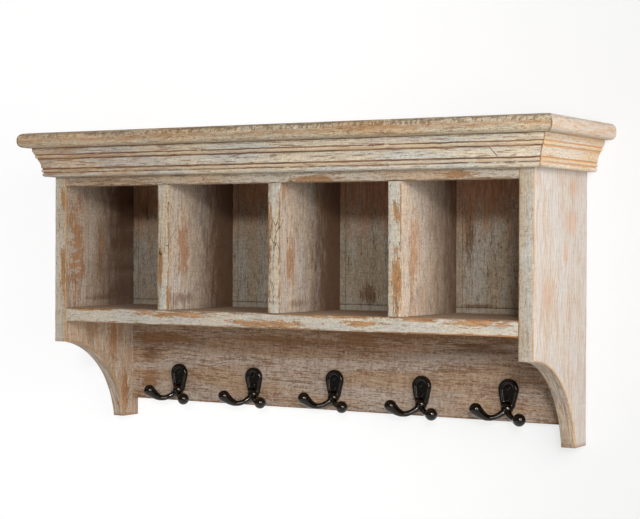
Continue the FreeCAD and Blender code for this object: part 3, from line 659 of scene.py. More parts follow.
@dataclass(frozen=True)
class Limewash:
    """Grey-white limewash on stained pine, rubbed through at the arrises and in patches."""

    name: str
    grain: Axis
    low: Vector
    high: Vector
    seed: float
    lime: Colour = shade(208, 206, 196)
    cream: Colour = shade(212, 198, 174)
    pine: Colour = shade(186, 142, 98)
    stain: Colour = shade(126, 90, 60)
    deep: Colour = shade(92, 66, 46)
    cover: float = 0.88
    contrast: float = 0.75
    long: float = 1.0
    rub: float = 1.3
    fray: float = 6.5
    rings: float = 0.12
    ring_width: float = 5.5
    pith: float = 30.0
    fibre: float = 0.6
    saw: float = 0.0
    dirt: float = 0.35
    cracks: float = 0.0
    patches: tuple[Patch, ...] = ()

    @property
    def bottom(self) -> float:
        """Height of the lowest corner in millimetres."""
        return self.low.z / MM

    @property
    def top(self) -> float:
        """Height of the highest corner in millimetres."""
        return self.high.z / MM

    def span(self, axis: int) -> Pair:
        """Middle and half size of the board on one axis, in millimetres."""
        return (self.low[axis] + self.high[axis]) / 2 / MM, (self.high[axis] - self.low[axis]) / 2 / MM

    def across(self) -> list[int]:
        """Numbers of the two axes that lie across the grain."""
        return [i for i in range(3) if i != self.grain.value]

    def spread(self, along: float, across: float) -> list[float]:
        """Scale of a noise that runs with the grain, from its waves per millimetre along and across it."""
        return [along / self.long if i == self.grain.value else across for i in range(3)]

    def arris(self, g: Graph, parts: Sequence[Socket]) -> Socket:
        """Distance in millimetres from the nearest long arris, at the point whose X, Y and Z are given."""
        spans = [(parts[i], *self.span(i)) for i in self.across()]
        return g.most(*(g.less(half, g.apart(part, middle)) for part, middle, half in spans))

    def share(self, g: Graph, mark: Mark, point: Socket, ragged: Socket) -> Value:
        """Share of one kind of mark from the patches.

        Args:
            g: the material's nodes.
            mark: the kind of mark.
            point: the point in millimetres.
            ragged: noise that frays the patches' edges.

        Returns:
            The share, 0 where no patch lies.
        """
        total: Value = 0.0
        for patch in self.patches:
            if patch.mark is mark:
                far = g.add(g.nearness(point, patch.middle, patch.reach), ragged)
                total = g.add(total, g.times(g.rise(far, 1.3, 0.3), patch.strength))
        return total

    def extra(self, g: Graph, colour: Socket, on: Layers) -> Socket:
        """Draw the marks that only some boards have: here, none."""
        return colour

    def mottled(self, g: Graph, colour: Socket, on: Layers, share: Value, reach: float) -> Socket:
        """Lighten and darken a face in streaks along the grain.

        Args:
            g: the material's nodes.
            colour: colour so far.
            on: the noises and the point.
            share: where it is done.
            reach: how strong it is.

        Returns:
            The streaked colour.
        """
        factor = g.add(1.0, g.swing(on.streak, reach), g.swing(on.fibre, 0.6 * reach),
                       g.swing(on.speck, 0.5 * reach))
        return g.mix(share, colour, factor, "MULTIPLY")

    def behind(self, g: Graph, on: Layers) -> Socket:
        """Be 0 on a board's front edge and 1 on its sides behind it."""
        return g.rise(on.y, 0.8 - DEPTH, 2.5 - DEPTH)

    def rear_shade_and_stain(self, g: Graph, on: Layers, end: float) -> Socket:
        """Share of painted shade and brown stain towards a side's back: 0 in front, 1 from the end on, ragged
        between.
        """
        return g.rise(g.add(on.y, g.swing(on.cloud, 60.0), g.swing(on.streak, 50.0)), -110.0, end)

    def mitre(self, g: Graph, on: Layers) -> Socket:
        """How far a point lies before the mitre at either front corner, below 0 on the returns, frayed."""
        gap = g.less(g.less(HALF_WIDTH - DEPTH, g.math("ABSOLUTE", on.x)), on.y)
        return g.add(gap, g.swing(on.speck, 2.4))

    def growth(self, g: Graph, parts: Sequence[Socket], sway: Socket, streak: Socket) -> Socket:
        """Growth rings round a pith that lies a little aslant behind the board.

        Args:
            g: the material's nodes.
            parts: the point's X, Y and Z in millimetres.
            sway: slow noise that bends the rings.
            streak: finer noise that frays them.

        Returns:
            How much of the dark late wood shows, 0 to 1.
        """
        u, v = self.across()
        du = g.less(parts[u], self.span(u)[0] + 9 * math.sin(self.seed))
        slant = g.times(parts[self.grain.value], 0.16 * math.sin(self.seed * 2.3))
        dv = g.add(parts[v], self.pith + 9 * math.cos(self.seed), slant)
        bent = g.add(g.radius(du, dv), g.swing(sway, 16.0), g.swing(streak, 5.0))
        phase = g.math("FRACT", g.times(bent, 1 / self.ring_width))
        return g.times(g.rise(phase, 0.3, 0.88), g.rise(phase, 1.0, 0.9))

    def build(self) -> Material:
        """Build the material.

        Returns:
            The material.
        """
        g = Graph(self.name)
        point, *parts = g.place()
        s = self.seed
        sway = g.noise(point, self.spread(0.006, 0.02), s, 2.0)
        fibre = g.noise(point, self.spread(0.12, 1.0), s + 3, 3.0, 0.7)
        streak = g.noise(point, self.spread(0.03, 0.34), s + 5, 5.0, 0.72, 0.6)
        cloud = g.noise(point, self.spread(0.024, 0.085), s + 9, 6.0, 0.66, 0.8)
        tone = g.noise(point, self.spread(0.01, 0.04), s + 14, 3.0)
        speck = g.noise(point, (0.4, 0.4, 0.4), s + 17, 3.0, 0.75)
        late = self.growth(g, parts, sway, streak)
        ragged = g.add(g.swing(streak, 1.3), g.swing(fibre, 0.9), g.swing(cloud, 0.6))
        rub, comb, stained = (self.share(g, mark, point, ragged) for mark in Mark)
        stroke = g.noise(point, self.spread(0.14, 0.035), s + 25, 3.0, 0.6, 0.8)
        rub = g.add(rub, g.times(comb, g.rise(stroke, 0.42, 0.54)))
        on = Layers(point, *parts, fibre, streak, cloud, speck, late, rub)
        cover = g.add(self.cover, g.swing(cloud, self.contrast), g.swing(streak, 0.9 * self.contrast),
                      g.swing(fibre, self.fibre), g.swing(speck, 0.4), g.times(late, -self.rings))
        cover = g.less(cover, rub)
        worn = g.noise(point, self.spread(0.04, 0.25), s + 20, 5.0, 0.75)
        edge = g.add(self.arris(g, parts), g.swing(worn, self.fray), g.swing(fibre, 1.2))
        worn = g.rise(edge, 1.7 * self.rub, 0.8 * self.rub)
        wash = g.times(g.rise(cover, 0.3, 0.7), g.less(1.0, g.times(worn, 0.9)))
        wood = g.add(0.2, g.times(late, 0.3), g.times(worn, 0.3), g.swing(streak, 0.9), g.swing(fibre, 0.7))
        lime = g.mix(g.rise(g.add(tone, g.swing(streak, 0.2)), 0.4, 0.6), self.lime, self.cream)
        colour = g.lay(g.mix(wood, self.pine, self.stain), lime, wash, 0.95)
        colour = g.lay(colour, self.deep, g.band(cover, 0.36, 0.5, 0.05), 0.35)
        colour = g.lay(colour, g.mix(g.rise(streak, 0.3, 0.7), self.deep, self.stain), stained, 0.8)
        if self.saw:
            sawn = g.noise(point, self.spread(0.4, 0.04), s + 30, 3.0, 0.6)
            colour = g.lay(colour, self.stain, g.rise(sawn, 0.46, 0.7), self.saw)
        grime = g.noise(point, self.spread(0.03, 0.45), s + 40, 4.0, 0.7, 0.3)
        colour = g.lay(colour, self.deep, g.rise(grime, 0.54, 0.66), self.dirt)
        pit = g.noise(point, self.spread(0.16, 0.5), s + 45, 2.0, 0.6)
        colour = g.lay(colour, self.deep, g.rise(pit, 0.61, 0.68), self.dirt)
        if self.cracks:
            crack = g.add(g.splits(point, self.spread(0.035, 0.11), s + 50), g.swing(fibre, 0.03))
            broken = g.noise(point, self.spread(0.04, 0.06), s + 60, 2.0)
            colour = g.lay(colour, shade(62, 46, 34), g.rise(crack, 0.045, 0.012), g.rise(broken, 0.52, 0.6),
                           self.cracks)
        grain = g.add(1.0, g.swing(speck, 0.45), g.swing(fibre, 0.4))
        colour = self.extra(g, g.mix(1.0, colour, grain, "MULTIPLY"), on)
        rough = g.add(0.6, g.times(wash, 0.2), g.swing(fibre, 0.1))
        height = g.add(g.times(fibre, 0.5), g.times(wash, 0.3), g.times(speck, 0.2))
        return g.finish(colour, rough, height, 0.4 * MM, Specular_IOR_Level=0.3)


@dataclass(frozen=True)
class CrownWash(Limewash):
    """The wash on the moulding, with dirt and painted shade along its quirks and rubs on its beads."""

    scar: Colour = shade(112, 70, 40)
    bead: Colour = shade(214, 180, 136)
    lines: tuple[Triple, ...] = ()
    beads: tuple[Pair, ...] = ()
    crack_x: float = 309.0
    crack_top: float = 36.5
    crack_drop: float = 11.0
    crack_slant: float = 0.82

    def arris(self, g: Graph, parts: Sequence[Socket]) -> Socket:
        """The moulding has no long arris: its rubs lie on its beads."""
        return g.add(50.0, 0.0)

    def extra(self, g: Graph, colour: Socket, on: Layers) -> Socket:
        """Draw the dark lines of dirt and painted shade along the quirks, the short dashes in the cove and
        the crack.

        Args:
            g: the material's nodes.
            colour: colour so far.
            on: the noises and the point.

        Returns:
            The colour with the marks.
        """
        dash = g.noise(on.point, self.spread(0.035, 0.6), self.seed + 66, 4.0, 0.7)
        colour = g.lay(colour, self.scar, g.rise(dash, 0.55, 0.6), 0.7)
        wave = g.noise(on.point, self.spread(0.045, 0.0), self.seed + 70, 3.0, 0.6)
        level = g.add(on.z, g.swing(wave, 1.1))
        breaks = g.noise(on.point, self.spread(0.06, 0.02), self.seed + 80, 3.0, 0.7)
        # The quirk lines are dirt with painted shade in the recesses; the first is a painted shadow under the
        # top board.
        ink = g.lay(self.scar, self.pine, g.rise(on.cloud, 0.42, 0.6), 0.55)
        for drop, width, solid in self.lines:
            line = g.band(level, CEILING - drop - width / 2, CEILING - drop + width / 2, 0.35)
            colour = g.lay(colour, ink, line, g.rise(g.add(breaks, solid), 0.45, 0.62), 0.9)
        for drop, width in self.beads:
            nose = g.band(level, CEILING - drop - width / 2, CEILING - drop + width / 2, 0.5)
            colour = g.lay(colour, self.bead, nose, g.rise(on.streak, 0.36, 0.5), 0.6)
        slant = g.add(g.less(on.x, self.crack_x), g.times(g.less(on.z, self.crack_top), self.crack_slant))
        reach = g.band(on.z, self.crack_top - self.crack_drop, self.crack_top, 1.0)
        colour = g.lay(colour, self.scar, g.band(slant, -0.8, 0.8, 0.4), reach, 0.85)
        brown = g.times(g.rise(on.x, -60.0, -330.0), g.rise(on.streak, 0.4, 0.6))
        colour = g.lay(colour, shade(164, 112, 66), brown, 0.6)
        crease = g.times(g.band(self.mitre(g, on), -1.2, 1.2, 0.6), g.rise(on.cloud, 0.36, 0.56))
        return g.lay(colour, shade(142, 92, 52), crease, 0.8)


@dataclass(frozen=True)
class PanelWash(Limewash):
    """The wash on a side panel, whose arris follows the cove and whose outer face is paler."""

    side: Side = Side.RIGHT
    cove_radius: float = 133.0
    cove_level: float = -349.0
    cream: Colour = shade(190, 176, 155)
    side_tint_and_painted_light: Colour = shade(166, 138, 120)
    outer_pale: Colour = shade(190, 187, 184)
    outer_peach: Colour = shade(168, 143, 124)

    def arris(self, g: Graph, parts: Sequence[Socket]) -> Socket:
        """Distance from the nearest arris of the panel's outline.

        Args:
            g: the material's nodes.
            parts: the point's X, Y and Z in millimetres.

        Returns:
            The distance in millimetres.
        """
        x, y, z = parts
        middle, half = self.span(0)
        ahead, above = g.less(y, self.low.y / MM), g.less(z, self.cove_level)
        cove = g.apart(g.radius(ahead, above), self.cove_radius)
        rim = g.least(ahead, g.less(self.high.y / MM, y), g.less(z, self.bottom), cove)
        return g.most(g.less(half, g.apart(x, middle)), rim)

    def extra(self, g: Graph, colour: Socket, on: Layers) -> Socket:
        """Lay the pale wash on the outer face and give the inner one painted shade, inside the cubby and
        towards the back.

        Args:
            g: the material's nodes.
            colour: colour so far.
            on: the noises and the point.

        Returns:
            The colour with the marks.
        """
        face = g.less(g.times(on.x, self.side.value), INSIDE)
        front = self.behind(g, on)
        fine = g.add(g.times(g.rise(on.cloud, 0.42, 0.68), 0.8), g.times(on.late, 0.7),
                     g.swing(on.fibre, 1.1), g.swing(on.streak, 1.6), g.swing(on.speck, 0.6))
        outer = g.times(g.rise(face, 18.8, 19.8), front)
        colour = g.lay(colour, g.mix(fine, self.outer_pale, self.outer_peach), outer, 0.72)
        colour = g.lay(colour, shade(190, 146, 112), outer, on.rub, 0.8)
        inner = g.times(g.rise(face, 1.2, 0.2), front)
        # Painted shade: the inner face takes more of its darker tint inside the cubby than on the leg below
        # the shelf.
        cubby_shade_share = g.add(0.15, g.times(g.rise(on.z, -200.0, -180.0), 0.3))
        colour = g.lay(colour, self.side_tint_and_painted_light, inner, cubby_shade_share)
        colour = g.lay(colour, shade(186, 134, 90), inner, on.rub, 0.32)
        colour = self.mottled(g, colour, on, inner, 0.8)
        # Painted shade, with some brown stain, darkening the inner face towards the back inside the cubby.
        deep = g.times(inner, self.rear_shade_and_stain(g, on, -45.0), g.rise(on.z, -178.0, -168.0))
        colour = g.lay(colour, shade(96, 64, 40), deep, 0.88)
        rim = g.times(g.rise(face, 1.0, 2.2), g.rise(face, 19.0, 17.8), g.rise(on.z, -206.0, -222.0))
        curl = g.noise(on.point, (0.45, 0.035, 0.035), self.seed + 75, 4.0, 0.7, 0.4)
        curled = g.mix(g.rise(curl, 0.38, 0.62), shade(206, 186, 164), shade(130, 98, 72))
        colour = g.lay(colour, curled, rim, 0.6)
        leg = g.times(inner, g.rise(on.z, -180.0, -192.0))
        colour = g.lay(colour, shade(178, 134, 96), leg, g.rise(on.cloud, 0.4, 0.6), 0.6)
        colour = g.lay(colour, shade(204, 186, 166), leg, g.rise(on.streak, 0.52, 0.66), 0.35)
        edge = g.add(self.arris(g, (on.x, on.y, on.z)), g.swing(on.streak, 2.6))
        colour = g.lay(colour, shade(198, 158, 110), g.rise(edge, 1.8, 0.9), 0.7)
        foot = g.rise(g.add(on.z, g.swing(on.streak, 8.0)), self.bottom + 6.0, self.bottom + 1.0)
        return g.lay(colour, self.stain, foot, 0.5)


@dataclass(frozen=True)
class DividerWash(Limewash):
    """The wash on a divider, whose sides are browner, with painted shade and stain towards the back."""

    painted_shade_end: float = -45.0
    side_tint_and_painted_light: Colour = shade(168, 144, 127)

    def extra(self, g: Graph, colour: Socket, on: Layers) -> Socket:
        """Tint the sides and give them painted shade, with some stain, towards the back.

        Args:
            g: the material's nodes.
            colour: colour so far.
            on: the noises and the point.

        Returns:
            The colour with the marks.
        """
        inner = self.behind(g, on)
        colour = g.lay(colour, self.side_tint_and_painted_light, inner, 0.5)
        colour = g.lay(colour, shade(190, 134, 88), inner, on.rub, 0.4)
        colour = self.mottled(g, colour, on, inner, 0.7)
        # Painted shade, with some brown stain, towards the back of each side.
        return g.lay(colour, shade(100, 68, 44), self.rear_shade_and_stain(g, on, self.painted_shade_end), 0.87)


@dataclass(frozen=True)
class ShelfWash(Limewash):
    """The wash on the shelf, browner on its upper face, with a bare lower arris at the right."""

    def extra(self, g: Graph, colour: Socket, on: Layers) -> Socket:
        """Brown the upper face, bare most of the under face and bare the arris.

        Args:
            g: the material's nodes.
            colour: colour so far.
            on: the noises and the point.

        Returns:
            The colour with the marks.
        """
        floor = g.times(g.rise(on.z, self.top - 1.1, self.top - 0.3), g.rise(on.y, -165.0, -150.0))
        colour = g.lay(colour, shade(150, 114, 84), floor, g.rise(on.streak, 0.25, 0.55), 0.85)
        under = g.rise(on.z, self.bottom + 0.7, self.bottom + 0.2)
        grained = g.rise(g.add(on.streak, g.swing(on.cloud, 0.3)), 0.36, 0.62)
        bare = g.mix(grained, shade(232, 190, 148), shade(190, 142, 100))
        colour = self.mottled(g, g.lay(colour, bare, under, 0.75), on, under, 0.5)
        level = g.add(on.z, g.swing(on.cloud, 2.4))
        arris = g.times(g.rise(level, self.bottom + 2.7, self.bottom + 1.7), g.rise(on.x, 150.0, 230.0),
                        g.rise(on.y, -164.0, -165.4))
        return g.lay(colour, shade(188, 132, 84), arris, 0.8)


@dataclass(frozen=True)
class BackWash(Limewash):
    """The wash on the back panel, reddish in its upper part from stain and painted light, with thin dark
    lines in each cubby.
    """

    seam: float = -160.0
    inset: float = 9.0
    edges: tuple[float, ...] = (-340.0, -165.25, 9.5, 184.25)

    def extra(self, g: Graph, colour: Socket, on: Layers) -> Socket:
        """Tint the upper part with stain and painted light, and draw the thin dark lines.

        Args:
            g: the material's nodes.
            colour: colour so far.
            on: the noises and the point.

        Returns:
            The colour with the marks.
        """
        front = g.rise(on.y, -6.0, -10.0)
        # Partly brown stain, partly painted light: a warm tint standing in for light bounced off the wood
        # into the shade under the frieze.
        high = g.rise(g.add(on.z, g.swing(on.cloud, 90.0), g.swing(on.streak, 40.0)), -80.0, 0.0)
        warm_stain_and_light = g.mix(g.rise(on.streak, 0.36, 0.62), shade(218, 166, 132), shade(164, 110, 74))
        colour = self.mottled(g, g.lay(colour, warm_stain_and_light, high, front, 0.8), on, 1.0, 0.5)
        # Thin dark lines along the seam and 9 mm in from each cubby's left side.
        line = g.rise(g.apart(on.z, self.seam), 1.2, 0.5)
        for edge in self.edges:
            beside = g.rise(g.apart(on.x, edge + self.inset), 1.1, 0.4)
            line = g.most(line, g.times(beside, 0.7))
        colour = g.lay(colour, self.lime, g.rise(g.less(on.z, self.seam), -0.8, -1.4), front, 0.3)
        return g.lay(colour, shade(58, 42, 30), line, front, g.rise(on.cloud, 0.32, 0.5), 0.6)


@dataclass(frozen=True)
class TopWash(Limewash):
    """The wash on the top board, with bands along its bullnose."""

    def extra(self, g: Graph, colour: Socket, on: Layers) -> Socket:
        """Draw the bands along the bullnose.

        Args:
            g: the material's nodes.
            colour: colour so far.
            on: the noises and the point.

        Returns:
            The colour with the marks.
        """
        wave = g.noise(on.point, (0.02, 0.02, 0.05), self.seed + 70, 3.0, 0.6)
        level = g.add(on.z, g.swing(wave, 7.0))
        nose = g.rise(on.z, self.top - 0.05, self.top - 0.7)
        colour = self.mottled(g, colour, on, nose, 0.45)
        fray = g.times(g.add(g.swing(on.streak, 0.8), 0.8), nose)
        tan = g.band(level, self.bottom + 6.5, self.bottom + 12.0, 1.8)
        colour = g.lay(colour, shade(172, 126, 82), tan, g.rise(fray, 0.5, 1.0), 0.8)
        tick = g.noise(on.point, (0.26, 0.26, 0.06), self.seed + 90, 2.0, 0.6, 0.6)
        ticked = g.band(on.z, self.bottom + 12.5, self.bottom + 18.8, 0.9)
        colour = g.lay(colour, shade(116, 82, 52), g.rise(tick, 0.48, 0.55), ticked, 0.6)
        dark = g.band(level, self.bottom + 17.0, self.bottom + 20.0, 0.8)
        colour = g.lay(colour, shade(96, 82, 62), dark, g.rise(fray, 0.45, 0.85), 0.6)
        gap = self.mitre(g, on)
        along = g.noise(on.point, (0.3, 0.03, 0.3), self.seed + 99, 4.0, 0.7, 0.5)
        pale = g.mix(g.rise(along, 0.46, 0.64), shade(184, 176, 168), shade(178, 136, 100))
        colour = g.lay(colour, pale, g.rise(gap, 0.6, -0.6), g.rise(on.x, 0.0, 1.0), nose, 0.65)
        left = g.rise(on.x, -120.0, -330.0)
        colour = g.lay(colour, shade(220, 180, 140), left, g.rise(on.streak, 0.38, 0.6), nose, 0.5)
        crease = g.band(gap, -0.8, 2.0, 0.6)
        return g.lay(colour, self.stain, crease, g.rise(on.cloud, 0.4, 0.52), nose, 0.8)


@dataclass(frozen=True)
class BlackEnamel:
    """Glossy black enamel over cast iron, a little uneven."""

    name: str = "black_enamel"

    def build(self) -> Material:
        """Build the material.

        Returns:
            The material.
        """
        g = Graph(self.name)
        point, *_ = g.place()
        cast = g.noise(point, (0.22, 0.22, 0.22), 2.0, 3.0, 0.6)
        grit = g.noise(point, (1.6, 1.6, 1.6), 8.0, 2.0)
        colour = g.mix(cast, shade(4, 3, 2), shade(9, 6, 4))
        rough = g.add(0.1, g.swing(cast, 0.08), g.swing(grit, 0.03))
        height = g.add(g.times(cast, 0.8), g.times(grit, 0.1))
        return g.finish(colour, rough, height, 0.12 * MM, Specular_IOR_Level=0.5,
                        Specular_Tint=(1.0, 0.88, 0.78, 1.0))


@dataclass(frozen=True)
class ZincSteel:
    """Zinc-plated steel, lightly brushed along one axis."""

    name: str = "zinc_steel"
    dark: Colour = shade(122, 120, 116)
    light: Colour = shade(186, 184, 178)

    def build(self) -> Material:
        """Build the material.

        Returns:
            The material.
        """
        g = Graph(self.name)
        point, *_ = g.place()
        brushed = g.noise(point, (2.5, 2.5, 0.12), 4.0, 3.0, 0.6)
        bloom = g.noise(point, (0.12, 0.12, 0.12), 9.0, 3.0, 0.6)
        colour = g.mix(g.add(g.times(brushed, 0.5), g.times(bloom, 0.5)), self.dark, self.light)
        rough = g.add(0.3, g.times(bloom, 0.25))
        return g.finish(colour, rough, brushed, 0.05 * MM, Metallic=1.0)


@dataclass(frozen=True)
class BareBeech:
    """Bare beech dowel stock with short flecks."""

    name: str = "bare_beech"

    def build(self) -> Material:
        """Build the material.

        Returns:
            The material.
        """
        g = Graph(self.name)
        point, *_ = g.place()
        fleck = g.noise(point, (0.25, 2.0, 2.0), 3.0, 2.0, 0.5)
        cloud = g.noise(point, (0.05, 0.2, 0.2), 6.0, 3.0, 0.5)
        colour = g.mix(cloud, shade(206, 170, 124), shade(186, 146, 102))
        colour = g.mix(g.times(g.rise(fleck, 0.55, 0.7), 0.5), colour, shade(142, 100, 66))
        return g.finish(colour, g.add(0.55, g.swing(fleck, 0.1)), fleck, 0.1 * MM)


@dataclass
class Studio:
    """Camera, lamps, wall and floor. Angles in degrees, lengths in metres."""

    yaw: float = 30.816
    pitch: float = -0.611
    roll: float = 0.2325
    lens: float = 92.54
    eye: Vector = field(default_factory=lambda: Vector((1.128, -1.941, -0.076)))
    aim: Vector = field(default_factory=lambda: Vector((0.1, -0.08, -0.12)))
    key: float = 0.87
    key_from: Pair = (56.0, 11.0)
    key_reach: float = 1.5
    key_size: float = 1.1
    fill: float = 0.29
    fill_from: Pair = (28.0, 15.0)
    fill_spread: float = 6.0
    rear: float = 0.36
    rear_from: Pair = (186.0, 14.0)
    rear_size: float = 1.0
    sky: float = 0.19
    sheet: float = 7.0
    sheet_grey: Colour = (0.24, 0.24, 0.24)
    wall_gap: float = 0.0006
    wall_level: float = 1.2
    floor_ahead: float = 3.0
    floor_level: float = -1.4
    glow: float = 0.84
    glow_shade_fall: float = 0.30

    def camera(self) -> None:
        """Set the camera where the photograph was taken from."""
        yaw, pitch, roll = (math.radians(v) for v in (self.yaw, self.pitch, self.roll))
        ahead = Vector((-math.sin(yaw) * math.cos(pitch), math.cos(yaw) * math.cos(pitch), math.sin(pitch)))
        level = Vector((math.cos(yaw), math.sin(yaw), 0))
        upright = level.cross(ahead)
        right = math.cos(roll) * level + math.sin(roll) * upright
        up = -math.sin(roll) * level + math.cos(roll) * upright
        data = bpy.data.cameras.new("camera")
        data.lens = self.lens
        camera = bpy.data.objects.new("camera", data)
        bpy.context.scene.collection.objects.link(camera)
        turn = Matrix((right, up, -ahead)).transposed().to_4x4()
        turn.translation = self.eye
        camera.matrix_world = turn
        bpy.context.scene.camera = camera

    def towards(self, azimuth: float, height: float) -> Vector:
        """Direction of a lamp, from its degrees to the right of straight in front and above the horizon."""
        a, e = math.radians(azimuth), math.radians(height)
        return Vector((math.sin(a) * math.cos(e), -math.cos(a) * math.cos(e), math.sin(e)))

    def lamp(self, name: str, kind: str, power: float, tint: Colour, towards: Vector,
             **settings: object) -> None:
        """Add a lamp that shines on the shelf.

        Args:
            name: name of the lamp.
            kind: Blender's type of lamp.
            power: strength.
            tint: colour.
            towards: direction of the lamp from the shelf.
            settings: further settings of the lamp.
        """
        light = bpy.data.lights.new(name, kind)
        light.energy, light.color = power, tint
        for key, value in settings.items():
            setattr(light, key, value)
        holder = bpy.data.objects.new(name, light)
        holder.location = self.aim + towards * self.key_reach
        holder.rotation_euler = towards.to_track_quat("Z", "Y").to_euler()
        bpy.context.scene.collection.objects.link(holder)

    def lamps(self) -> None:
        """Light the room: a soft box from the right, a smaller fill from the front, and a pale room."""
        power = self.key * math.pi ** 2 * self.key_reach ** 2
        self.lamp("key", "AREA", power, (1.0, 0.99, 0.975), self.towards(*self.key_from), size=self.key_size)
        self.lamp("fill", "SUN", self.fill * math.pi, (1.0, 0.99, 0.98), self.towards(*self.fill_from),
                  angle=math.radians(self.fill_spread))
        self.lamp("rear", "AREA", power * self.rear / self.key, (1.0, 1.0, 1.0),
                  self.towards(*self.rear_from), size=self.rear_size)
        world = bpy.data.worlds.new("room")
        bpy.context.scene.world = world
        world.use_nodes = True
        back = world.node_tree.nodes["Background"]
        back.inputs[0].default_value = (0.97, 0.985, 1.0, 1.0)
        back.inputs[1].default_value = self.sky

    def backdrop(self, name: str, place: Vector, upright: bool) -> None:
        """Add a white sheet that looks white from its front, glows less to the right as painted shade, and
        can be seen through from behind.

        Args:
            name: name of the sheet.
            place: its middle.
            upright: stands as the wall rather than lying as the floor.
        """
        Bench.clear()
        turn = (math.radians(90), 0, 0) if upright else (0, 0, 0)
        bpy.ops.mesh.primitive_plane_add(size=self.sheet, location=place, rotation=turn)
        sheet = Bench.named(name)
        g = Graph(f"{name}_paint")
        point, x, *_ = g.place()
        mottle = g.noise(point, (0.004, 0.004, 0.004), 3.0, 2.0)
        paint = g.mix(mottle, shade(238, 238, 238), shade(244, 244, 244))
        seen = g.node("ShaderNodeLightPath").outputs
        direct = g.most(seen["Is Camera Ray"], seen["Is Glossy Ray"], seen["Is Transmission Ray"])
        diffuse = g.node("ShaderNodeBsdfDiffuse", {0: g.mix(direct, paint, self.sheet_grey)})
        # Painted shade: the glow is dimmed towards the right.
        level = g.less(self.glow, g.times(g.rise(x, -200.0, 900.0), self.glow_shade_fall))
        glow = g.node("ShaderNodeEmission", {0: (1, 1, 1, 1), 1: g.times(direct, level)})
        both = g.node("ShaderNodeAddShader", {0: diffuse.outputs[0], 1: glow.outputs[0]})
        clear = g.node("ShaderNodeBsdfTransparent")
        behind = g.most(g.node("ShaderNodeNewGeometry").outputs["Backfacing"], seen["Is Shadow Ray"])
        whole = g.node("ShaderNodeMixShader", {0: behind, 1: both.outputs[0], 2: clear.outputs[0]})
        g.node("ShaderNodeOutputMaterial", {"Surface": whole.outputs[0]})
        sheet.data.materials.append(g.material)

    def build(self) -> None:
        """Set up the whole studio."""
        self.camera()
        self.lamps()
        self.backdrop("wall", Vector((0, self.wall_gap, self.wall_level)), True)
        self.backdrop("floor", Vector((0, -self.floor_ahead, self.floor_level)), False)
        bpy.context.scene.view_settings.view_transform = "Standard"


def corner(x: float, y: float, z: float) -> Vector:
    """A point in metres, from its places to the right, to the back and upwards in millimetres."""
    return Vector((x, y, z)) * MM


def bow(start: Pair, end: Pair, radius: float, steps: int) -> list[Pair]:
    """Points of an arc from start to end, without its start.

    Args:
        start: first point.
        end: last point.
        radius: radius, above zero where the arc bulges to the left of the way.
        steps: how many points.

    Returns:
        The points.
    """
    ax, ay = start
    bx, by = end
    half = math.hypot(bx - ax, by - ay) / 2
    rise = math.sqrt(max(radius * radius - half * half, 0.0))
    side = 1 if radius > 0 else -1
    nx, ny = -(by - ay) / (2 * half), (bx - ax) / (2 * half)
    cx, cy = (ax + bx) / 2 - side * rise * nx, (ay + by) / 2 - side * rise * ny
    first, last = math.atan2(ay - cy, ax - cx), math.atan2(by - cy, bx - cx)
    turn = (last - first + math.pi) % (2 * math.pi) - math.pi
    r = abs(radius)
    return [(cx + r * math.cos(first + turn * i / steps), cy + r * math.sin(first + turn * i / steps))
            for i in range(1, steps + 1)]


